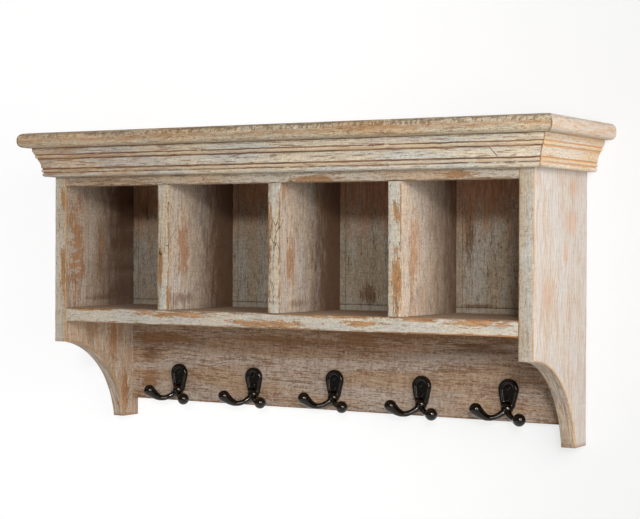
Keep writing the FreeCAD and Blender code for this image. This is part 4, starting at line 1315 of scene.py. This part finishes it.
@dataclass
class Carcase:
    """Side panels, top board, shelf, frieze rail and dividers. Sizes in millimetres."""

    half_width: float = HALF_WIDTH
    panel: float = PANEL
    depth: float = DEPTH
    ceiling: float = CEILING
    back: float = BACK
    foot: float = -330.0
    leg: float = 34.0
    cove: float = 114.5
    top_half: float = 397.5
    top_depth: float = 203.5
    top_thick: float = 20.5
    upper_round: float = 8.5
    lower_round: float = 7.5
    shelf_top: float = SHELF_TOP
    shelf_thick: float = SHELF_TOP - SHELF_UNDER
    frieze_under: float = -1.0
    frieze_thick: float = 18.0
    divider: float = 19.0
    divider_places: Triple = (-174.75, 0.0, 174.75)
    arris: float = 1.3
    arris_steps: int = 3
    nose_steps: int = 7
    cove_steps: int = 26
    rubbed: float = 1.4
    shelf_rubbed: float = 3.0
    step: float = 8.0
    top_step: float = 9.0
    dip: float = 0.7
    slight_dip: float = 0.6
    dip_size: float = 22.0
    top_dip_size: float = 25.0

    def side_panel(self, side: Side) -> None:
        """Build one side panel with its cove.

        Args:
            side: which end of the shelf.
        """
        d, z, up = self.depth, self.foot, self.cove
        radius = ((d - self.leg) ** 2 + up ** 2) / (2 * up)
        arc = bow((-d, z + up), (-self.leg, z), radius, self.cove_steps)
        rim = [(-d, self.ceiling), (-d, z + up), *arc, (0, z), (0, self.ceiling)]
        inner, outer = side.value * (self.half_width - self.panel), side.value * self.half_width
        piece = Bench.trace(f"side_panel_{side.word}_board", [corner(inner, a, b) for a, b in rim],
                            corner(side.value * self.panel, 0, 0))
        at_top = self.ceiling * MM - HAIR
        Bench.soften(piece, self.arris * MM, self.arris_steps,
                     lambda a, b: abs(a.x - b.x) < HAIR and min(a.z, b.z) < at_top)
        Bench.slice(piece, Axis.Z, self.step * MM, z * MM, self.ceiling * MM)
        near, far = abs(inner) * MM + 2 * HAIR, abs(outer) * MM - MM
        Bench.rub(piece, self.dip * MM, self.dip_size * MM, lambda p: near > abs(p.x) or abs(p.x) > far)
        seed, lime, patches = {
            Side.LEFT: (11.0, shade(208, 198, 182), (
                *Patch.rows(Mark.COMB, (-340, -143, -86, 10, 18, 66, 2.0)),
                *Patch.rows(Mark.RUB, (-340, -90, -96, 10, 6, 38, 0.8), (-344, -166, -17, 5, 6, 20),
                            (-344, -166, -118, 5, 6, 38), (-340, -60, -215, 10, 8, 30),
                            (-340, -34, -300, 10, 8, 34, 0.8)),
                *Patch.rows(Mark.STAIN, (-340, -40, -36, 10, 10, 44), (-340, -88, -156, 10, 34, 4),
                            (-340, -110, -200, 10, 10, 20, 0.7)))),
            Side.RIGHT: (27.0, shade(190, 189, 183), Patch.rows(
                Mark.RUB, (360, -47, -8, 8, 16, 12, 0.5), (360, -52, -50, 8, 20, 16, 0.5),
                (360, -70, -90, 8, 6, 14, 0.7), (360, -126, -138, 8, 18, 24, 0.5))),
        }[side]
        finish = PanelWash(f"limewash_side_{side.word}", Axis.Z, corner(min(inner, outer), -d, z),
                           corner(max(inner, outer), 0, self.ceiling), seed, side=side, cove_radius=radius,
                           cove_level=z + up - radius, patches=patches, lime=lime, saw=0.22, rub=1.05,
                           fray=3.0)
        Bench.deliver(piece, Slot.LIMEWASH, finish.build(), f"side_panel_{side.word}")

    def top_board(self) -> None:
        """Build the top board with its bullnose."""
        low = corner(-self.top_half, -self.top_depth, self.ceiling)
        high = corner(self.top_half, 0, self.ceiling + self.top_thick)
        piece = Bench.block("top_board_bullnose", low, high)

        def rim(level: float) -> Callable[[Vector, Vector], bool]:
            """Edges round the front and the ends at one level."""
            return lambda a, b: (max(abs(a.z - level), abs(b.z - level)) < HAIR and min(a.y, b.y) <= -HAIR)

        Bench.soften(piece, self.upper_round * MM, self.nose_steps, rim(high.z))
        Bench.soften(piece, self.lower_round * MM, self.nose_steps, rim(low.z))
        step = self.top_step * MM
        Bench.slice(piece, Axis.X, step, low.x, high.x)
        Bench.slice(piece, Axis.Y, step, low.y, high.y)
        Bench.rub(piece, self.slight_dip * MM, self.top_dip_size * MM,
                  lambda p: p.y < low.y + step or abs(p.x) > high.x - step)
        finish = TopWash("limewash_top", Axis.X, low, high, 41.0, lime=shade(202, 190, 166),
                         cream=shade(204, 178, 144), cover=0.84, contrast=0.6, dirt=0.5)
        Bench.deliver(piece, Slot.LIMEWASH, finish.build(), "top_board")

    def shelf(self) -> None:
        """Build the shelf board."""
        inner = self.half_width - self.panel
        low = corner(-inner, -self.depth, self.shelf_top - self.shelf_thick)
        high = corner(inner, -self.back, self.shelf_top)
        piece = Bench.block("shelf_board_plank", low, high)
        Bench.soften(piece, self.arris * MM, self.arris_steps,
                     lambda a, b: max(a.y, b.y) < low.y + HAIR and abs(a.x - b.x) > MM)
        Bench.slice(piece, Axis.X, self.step * MM, low.x, high.x)
        front, near = low.y + self.rubbed * MM, self.shelf_rubbed * MM
        Bench.rub(piece, self.dip * MM, self.dip_size * MM,
                  lambda p: p.y < front and not low.z + near < p.z < high.z - near)
        patches = Patch.rows(
            Mark.RUB, (-12, -166, -181, 56, 12, 4.5), (126, -166, -177, 28, 12, 4),
            (211, -166, -169, 34, 12, 3.5), (-160, -166, -173, 66, 12, 4), (-300, -166, -169, 44, 12, 2.5),
            (290, -166, -172, 40, 12, 6), (89, -166, -167, 86, 14, 4))
        finish = ShelfWash("limewash_shelf", Axis.X, low, high, 53.0, lime=shade(202, 197, 186),
                           cream=shade(210, 199, 180), pine=shade(202, 156, 112), cover=0.9, contrast=0.55,
                           fibre=0.45, rub=1.4, patches=patches)
        Bench.deliver(piece, Slot.LIMEWASH, finish.build(), "shelf_board")

    def frieze(self) -> None:
        """Build the frieze rail under the top board."""
        inner = self.half_width - self.panel
        low = corner(-inner, -self.depth, self.frieze_under)
        high = corner(inner, self.frieze_thick - self.depth, self.ceiling)
        piece = Bench.block("frieze_rail_board", low, high)
        Bench.soften(piece, self.arris * MM, self.arris_steps,
                     lambda a, b: max(a.z, b.z) < low.z + HAIR and abs(a.x - b.x) > MM)
        Bench.slice(piece, Axis.X, self.step * MM, low.x, high.x)
        Bench.rub(piece, self.slight_dip * MM, self.dip_size * MM, lambda p: p.z < low.z + self.rubbed * MM)
        patches = (*Patch.rows(Mark.RUB, (258, -166, 6, 30, 12, 5), (60, -166, 3, 50, 12, 4, 0.8)),
                   *Patch.rows(Mark.STAIN, (-270, -166, 6, 90, 12, 8, 0.5)))
        finish = Limewash("limewash_frieze", Axis.X, low, high, 66.0, lime=shade(192, 182, 166),
                          cream=shade(190, 168, 142), pine=shade(172, 134, 96), cover=0.78, contrast=0.7,
                          rub=1.0, dirt=0.5, patches=patches)
        Bench.deliver(piece, Slot.LIMEWASH, finish.build(), "frieze_rail")

    def upright(self, name: str, place: float, seed: float, patches: tuple[Patch, ...]) -> None:
        """Build one divider, notched round the frieze rail.

        Args:
            name: left, centre or right.
            place: its middle.
            seed: moves its grain.
            patches: where its wash is rubbed thin.
        """
        d, b, f = -self.depth, -self.back, self.frieze_thick - self.depth
        rim = [(d, self.shelf_top), (b, self.shelf_top), (b, self.ceiling), (f, self.ceiling),
               (f, self.frieze_under), (d, self.frieze_under)]
        left = place - self.divider / 2
        piece = Bench.trace(f"divider_{name}_board", [corner(left, y, z) for y, z in rim],
                            corner(self.divider, 0, 0))
        Bench.soften(piece, self.arris * MM, self.arris_steps,
                     lambda p, q: max(p.y, q.y) < d * MM + HAIR and abs(p.z - q.z) > MM)
        Bench.slice(piece, Axis.Z, self.step * MM, self.shelf_top * MM, self.frieze_under * MM)
        Bench.rub(piece, self.dip * MM, self.dip_size * MM, lambda p: p.y < (d + self.rubbed) * MM)
        # Painted light: the right divider's sides get a lighter tint and their painted shade sets in further
        # back, as light reaches deeper into the right cubby.
        right_painted_light = {"painted_shade_end": -5.0, "side_tint_and_painted_light": shade(204, 176, 154)} if place > 0 else {}
        finish = DividerWash(f"limewash_divider_{name}", Axis.Z, corner(left, d, self.shelf_top),
                             corner(left + self.divider, b, self.ceiling), seed, lime=shade(202, 200, 190),
                             cream=shade(206, 192, 168), cracks=0.8, saw=0.22, patches=patches, **right_painted_light)
        Bench.deliver(piece, Slot.LIMEWASH, finish.build(), f"divider_{name}")

    def build(self) -> None:
        """Build every board of the carcase."""
        for side in Side:
            self.side_panel(side)
        self.top_board()
        self.shelf()
        self.frieze()
        marks = (
            ("left", 3.0, ((-165, -133, -84, 12, 14, 46, 0.66), (-179, -166, -108, 4, 5, 36),
                           (-166, -166, -152, 4, 5, 16)),
             ((-165, -133, -152, 12, 24, 9),)),
            ("centre", 7.5, ((9.5, -140, -102, 12, 9, 34, 0.68), (9.5, -156, -10, 12, 6, 14, 0.7),
                             (-8, -166, -80, 4, 5, 70)),
             ((9.5, -122, -156, 12, 26, 6),)),
            ("right", 14.2, ((184, -131, -84, 12, 13, 50, 0.68), (177, -166, -40, 5, 5, 12),
                             (177, -166, -128, 7, 5, 46)),
             ((184, -87, -52, 12, 7, 18, 0.7), (184, -112, -148, 12, 24, 18, 0.6))),
        )
        for place, (name, seed, rubs, stains) in zip(self.divider_places, marks):
            self.upright(name, place, seed, (*Patch.rows(Mark.RUB, *rubs), *Patch.rows(Mark.STAIN, *stains)))


@dataclass
class Crown:
    """The mitred crown moulding, in three lengths. Sizes in millimetres."""

    half_width: float = HALF_WIDTH
    depth: float = DEPTH
    ceiling: float = CEILING
    height: float = 39.5
    reach: float = 22.5
    joint: float = 0.12
    spare: float = 2.0
    bead_steps: int = 5
    cove_steps: int = 12
    step: float = 7.0
    dip: float = 0.5
    dip_size: float = 18.0
    rubbed_from: float = 5.0
    shares: tuple[tuple[float, float, Optional[float]], ...] = (
        (1.00, 0.000, None), (1.00, -0.135, None), (0.94, -0.165, None), (0.89, -0.228, 0.080),
        (0.84, -0.238, None), (0.87, -0.260, None), (0.80, -0.358, 0.080), (0.74, -0.370, None),
        (0.77, -0.400, None), (0.61, -0.690, -0.430), (0.53, -0.710, None), (0.57, -0.745, None),
        (0.56, -0.835, 0.060), (0.50, -0.845, None), (0.50, -0.865, None), (0.55, -0.880, None),
        (0.53, -0.965, 0.090), (0.45, -1.000, None), (0.00, -1.000, None), (0.00, 0.000, None),
    )

    def profile(self) -> list[Pair]:
        """The moulding's section: distance from the carcase, and height.

        Returns:
            The section's corners in order.
        """
        points: list[Pair] = []
        for out, up, radius in self.shares:
            there = (out * self.reach, self.ceiling + up * self.height)
            if radius is None:
                points.append(there)
            else:
                steps = self.bead_steps if radius > 0 else self.cove_steps
                points.extend(bow(points[-1], there, radius * self.height, steps))
        return points

    def wash(self, name: str, grain: Axis, back: float, seed: float, **colours: object) -> Material:
        """Build the material of one length.

        Args:
            name: name of the material.
            grain: direction of the length.
            back: where the length ends at its back.
            seed: moves its grain.
            colours: settings that differ.

        Returns:
            The material.
        """
        h = self.height
        # Dark lines, dirt with painted shade: drop below the top board, width, and how unbroken each is.
        # Beads: drop and width.
        # The first dark line is a painted shadow under the top board.
        lines = ((0.4, 1.2, 0.2), (0.243 * h, 1.7, 0.16), (0.38 * h, 2.0, 0.27), (0.722 * h, 2.0, 0.25),
                 (0.855 * h, 1.4, 0.12))
        settings = {"cover": 0.92, "contrast": 0.34, "fibre": 0.45, **colours}
        return CrownWash(name, grain, corner(-382, -188, 12), corner(382, back, 52), seed, lines=lines,
                         beads=((0.31 * h, 2.2), (0.79 * h, 2.0)), **settings).build()

    def front(self) -> None:
        """Build the front length."""
        end = self.half_width + self.reach
        rim = [corner(-end - self.spare, -self.depth - out, z) for out, z in self.profile()]
        piece = Bench.trace("crown_front_length", rim, corner(2 * (end + self.spare), 0, 0))
        for side in Side:
            Bench.cut(piece, corner(side.value * (self.half_width - self.joint), -self.depth, 0),
                      Vector((side.value, 1, 0)))
        Bench.slice(piece, Axis.X, self.step * MM, -end * MM, end * MM)
        nose = (self.depth + self.rubbed_from) * MM
        Bench.rub(piece, self.dip * MM, self.dip_size * MM, lambda p: p.y < -nose)
        finish = self.wash("limewash_crown_front", Axis.X, -self.depth, 81.0, cream=shade(222, 208, 184))
        Bench.deliver(piece, Slot.LIMEWASH, finish, "crown_front")

    def side(self, side: Side) -> None:
        """Build one return.

        Args:
            side: which end of the shelf.
        """
        sign, end = side.value, self.depth + self.reach
        rim = [corner(sign * (self.half_width + out), 0, z) for out, z in self.profile()]
        piece = Bench.trace(f"crown_return_{side.word}_length", rim, corner(0, -end - self.spare, 0))
        Bench.cut(piece, corner(sign * (self.half_width + self.joint), -self.depth, 0),
                  Vector((-sign, -1, 0)))
        Bench.slice(piece, Axis.Y, self.step * MM, -end * MM, 0)
        nose = (self.half_width + self.rubbed_from) * MM
        Bench.rub(piece, self.dip * MM, self.dip_size * MM, lambda p: abs(p.x) > nose)
        finish = self.wash(f"limewash_crown_{side.word}", Axis.Y, 0.0, 93.0 + sign, lime=shade(196, 186, 172),
                           cream=shade(194, 173, 146), scar=shade(198, 152, 102), bead=shade(198, 170, 138),
                           pine=shade(190, 146, 102), contrast=0.6, cover=0.88)
        Bench.deliver(piece, Slot.LIMEWASH, finish, f"crown_return_{side.word}")

    def build(self) -> None:
        """Build the three lengths."""
        self.front()
        for side in Side:
            self.side(side)


@dataclass
class BackBoards:
    """Back panel and hook rail, whose CAD boards stay. Sizes in millimetres."""

    half: float = INSIDE
    thick: float = BACK
    ceiling: float = CEILING
    seam: float = SHELF_UNDER
    foot: float = -304.5

    def build(self) -> None:
        """Dress the two boards."""
        # The faint last rub, a band along the rail just under the shelf, is partly painted shade there.
        marks = (
            *Patch.rows(Mark.RUB, (-278, -13, -215, 56, 12, 9), (-308, -13, -277, 14, 12, 14),
                        (34, -13, -206, 28, 12, 8), (-78, -13, -212, 62, 12, 6, 0.8),
                        (120, -13, -200, 240, 12, 10, 0.15)),
            *Patch.rows(Mark.STAIN, (-308, -13, -241, 22, 12, 14), (218, -13, -214, 62, 12, 10, 0.8)))
        rail = Limewash("limewash_hook_rail", Axis.X, corner(-self.half, -self.thick, self.foot),
                        corner(self.half, 0, self.seam), 104.0, lime=shade(190, 178, 166),
                        cream=shade(184, 158, 132), pine=shade(160, 124, 92), cover=0.66, saw=0.3, rub=1.2,
                        contrast=0.5, long=2.0, patches=marks)
        marks = Patch.rows(Mark.STAIN, (203, -13, -60, 9, 12, 42), (54, -13, -146, 14, 12, 15),
                           (216, -13, -158, 24, 12, 3), (-316, -13, -20, 20, 12, 24))
        back = BackWash("limewash_back_panel", Axis.Z, corner(-self.half, -self.thick, self.seam),
                        corner(self.half, 0, self.ceiling), 118.0, lime=shade(174, 169, 156),
                        cream=shade(168, 154, 133), pine=shade(128, 104, 80), stain=shade(116, 82, 54),
                        deep=shade(100, 68, 44), cover=0.82, saw=0.25, dirt=0.22, rub=0.3, contrast=0.5,
                        patches=marks)
        Bench.dress("hook_rail", rail.build())
        Bench.dress("back_panel", back.build())


@dataclass
class DoubleHook:
    """A cast double hook: dished plate, root and two ball-ended prongs. Sizes in millimetres."""

    lobe: float = 13.9
    foot: float = 9.6
    centres: float = 19.5
    thick: float = 6.4
    round: float = 3.4
    dish: float = 8.6
    dish_foot: float = 7.0
    dish_centres: float = 13.0
    dish_floor: float = 3.0
    root: Vector = field(default_factory=lambda: Vector((0, -4.6, -24.6)))
    root_radius: float = 8.2
    start: Vector = field(default_factory=lambda: Vector((0, -5.5, -26)))
    reach: float = 42.0
    sag: float = 10.2
    lift: float = 11.8
    thin: float = 3.2
    ball: float = 8.4
    splay: float = 47.0
    raised: float = 1.5
    droop: float = 12.0
    flatter: float = 0.45
    voxel: float = 0.5
    skin: float = 0.2
    skin_size: float = 6.0
    rail_front: float = -BACK
    level: float = -263.8
    head_radius: float = 3.4
    head_thick: float = 1.9
    head_round: float = 1.1
    slot_long: float = 3.6
    slot_wide: float = 0.9
    slot_floor: float = 0.8
    shank_radius: float = 1.7
    shank_length: float = 10.5
    shank_point: float = 1.4
    shank_in: float = 0.05
    screw_levels: Pair = (2.5, -12.5)
    stations: tuple[tuple[float, float, float, float], ...] = (
        (0.00, -0.00, 0.00, 0.40), (0.18, -0.52, 0.00, 0.20), (0.38, -0.90, 0.00, 0.10),
        (0.58, -1.00, 0.02, 0.16), (0.74, -1.00, 0.24, 0.42), (0.88, -1.00, 0.62, 0.74),
        (1.00, -1.00, 1.00, 0.97),
    )
    places: tuple[tuple[float, float, float, float], ...] = (
        (-255.2, -1.2, -1.0, 0.97), (-127.9, -1.2, 2.0, 0.97), (3.0, 1.2, -0.5, 0.97),
        (135.8, -1.0, 0.6, 0.98), (260.3, 0.5, -2.0, 0.99),
    )

    def teardrop(self, upper: float, lower: float, apart: float, y: float) -> list[Vector]:
        """Outline of two circles and the lines that touch both.

        Args:
            upper: radius of the upper circle, round the origin.
            lower: radius of the lower circle.
            apart: distance between their centres.
            y: where the outline lies.

        Returns:
            The outline's corners.
        """
        tilt = math.asin((upper - lower) / apart)
        points = []
        for i in range(25):
            a = -tilt + (math.pi + 2 * tilt) * i / 24
            points.append(corner(upper * math.cos(a), y, upper * math.sin(a)))
        for i in range(19):
            a = math.pi + tilt + (math.pi - 2 * tilt) * i / 18
            points.append(corner(lower * math.cos(a), y, lower * math.sin(a) - apart))
        return points

    def plate(self) -> Piece:
        """Model the dished plate.

        Returns:
            The plate.
        """
        rim = self.teardrop(self.lobe, self.foot, self.centres, 0.0)
        plate = Bench.trace("hook_plate", rim, corner(0, -self.thick, 0))
        front = -self.thick * MM + HAIR
        Bench.soften(plate, self.round * MM, 6, lambda a, b: max(a.y, b.y) < front)
        hollow = self.teardrop(self.dish, self.dish_foot, self.dish_centres, -self.dish_floor)
        Bench.carve(plate, Bench.trace("dish_tool", hollow, corner(0, -self.thick, 0)))
        return plate

    def prong(self, side: Side, droop: float, bend: float) -> list[Piece]:
        """Model one prong and its ball.

        Args:
            side: which way it splays.
            droop: how far it is turned down, in degrees.
            bend: share of the sag and the lift that it has.

        Returns:
            The prong and the ball.
        """
        tip, turn = math.radians(droop), math.radians(self.splay)
        points, widths = [], []
        for out, down, lift, wide in self.stations:
            r, h = out * self.reach, bend * (down * self.sag + lift * self.lift)
            r, h = r * math.cos(tip) + h * math.sin(tip), h * math.cos(tip) - r * math.sin(tip)
            points.append(self.start + Vector((side.value * r * math.sin(turn), -r * math.cos(turn), h)))
            widths.append(self.thin + wide * (self.ball - self.thin))
        Bench.clear()
        bpy.ops.curve.primitive_bezier_curve_add()
        path = bpy.context.object
        path.data.splines.clear()
        line = path.data.splines.new("BEZIER")
        line.bezier_points.add(len(points) - 1)
        for knot, place, width in zip(line.bezier_points, points, widths):
            knot.co, knot.radius = place * MM, width
            knot.handle_left_type = knot.handle_right_type = "AUTO"
        path.data.bevel_depth, path.data.bevel_resolution = MM, 6
        path.data.resolution_u, path.data.use_fill_caps = 8, True
        bpy.ops.object.convert(target="MESH")
        return [Bench.named("hook_prong"), Bench.ball("hook_ball", self.ball, points[-1])]

    def cast(self) -> Piece:
        """Model one hook round its own origin, the plate's upper centre on the rail.

        Returns:
            The hook.
        """
        parts = [self.plate(), *self.prong(Side.LEFT, self.raised, 1.0),
                 *self.prong(Side.RIGHT, self.droop, self.flatter),
                 Bench.ball("hook_root", self.root_radius, self.root)]
        hook = Bench.join("double_hook", *parts)
        Bench.apply(hook, "REMESH", mode="VOXEL", voxel_size=self.voxel * MM, use_smooth_shade=True)
        Bench.apply(hook, "SMOOTH", factor=0.5, iterations=7)
        skin = bpy.data.textures.new("cast_skin", "CLOUDS")
        skin.noise_scale = self.skin_size * MM
        Bench.apply(hook, "DISPLACE", texture=skin, texture_coords="LOCAL", direction="NORMAL", mid_level=0.5,
                    strength=self.skin * MM)
        Bench.cut(hook, Vector((0, 0, 0)), Vector((0, 1, 0)))
        return hook

    def screw(self) -> Piece:
        """Model one pan-headed screw with a cross recess, its head's seat at the origin.

        Returns:
            The screw.
        """
        screw = Bench.rod("hook_screw", 32, self.head_radius, self.head_thick, -self.head_thick / 2)
        front = (0.1 - self.head_thick) * MM
        Bench.soften(screw, self.head_round * MM, 5, lambda a, b: max(a.y, b.y) < front)
        for wide, tall in ((self.slot_long, self.slot_wide), (self.slot_wide, self.slot_long)):
            Bench.carve(screw, Bench.block("recess_tool", corner(-wide / 2, -3.0, -tall / 2),
                                           corner(wide / 2, -self.slot_floor, tall / 2)))
        shank = Bench.rod("hook_screw_shank", 20, self.shank_radius, self.shank_length,
                          self.shank_length / 2 - self.shank_in)
        end = (self.shank_length - 0.5) * MM
        Bench.soften(shank, self.shank_point * MM, 1, lambda a, b: min(a.y, b.y) > end)
        return Bench.join("hook_screw", screw, shank)

    def build(self) -> None:
        """Cast one hook and one screw, and copy them along the rail."""
        enamel = BlackEnamel().build()
        hook, screw = self.cast(), self.screw()
        for number, (x, lift, tilt, size) in enumerate(self.places, 1):
            turn = Matrix.Rotation(math.radians(-tilt), 4, "Y")
            place = Matrix.Translation(corner(x, self.rail_front, self.level + lift)) @ turn
            place = place @ Matrix.Scale(size, 4)
            twin = Bench.copy(hook, f"double_hook_{number}", place)
            Bench.deliver(twin, Slot.IRON, enamel, f"hook_{number}", angle=60)
            for level, end in zip(self.screw_levels, ("upper", "lower")):
                # Each screw stops at an angle of its own.
                seat = place @ Matrix.Translation(corner(0, -self.dish_floor, level))
                seat = seat @ Matrix.Rotation(math.radians(number * 37 + level * 11), 4, "Y")
                twin = Bench.copy(screw, f"hook_{number}_screw_{end}", seat)
                Bench.deliver(twin, Slot.IRON, enamel, "hook_screws")
        for model in (hook, screw):
            bpy.data.objects.remove(model)


@dataclass
class Hardware:
    """Dowels, brads, screws and hanging plates, whose CAD solids stay."""

    beech: tuple[str, ...] = ("divider_dowels", "frieze_dowels", "hook_rail_dowels", "shelf_dowels",
                              "top_dowels")
    steel: tuple[str, ...] = ("crown_brads", "keyhole_hanger_left", "keyhole_hanger_right", "hanger_screws",
                              "back_panel_screws")

    def build(self) -> None:
        """Dress the kept solids."""
        for names, finish in ((self.beech, BareBeech().build()), (self.steel, ZincSteel().build())):
            for name in names:
                Bench.dress(name, finish)


def main() -> None:
    """Build the studio and the shelf, and report each piece."""
    logging.basicConfig(level=logging.INFO, format="%(name)s: %(message)s")
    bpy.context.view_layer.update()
    for assembly in (Studio(), Carcase(), Crown(), BackBoards(), DoubleHook(), Hardware()):
        assembly.build()
        log.info("%s built", type(assembly).__name__)
    Bench.clear()


if __name__ == "__main__":
    main()
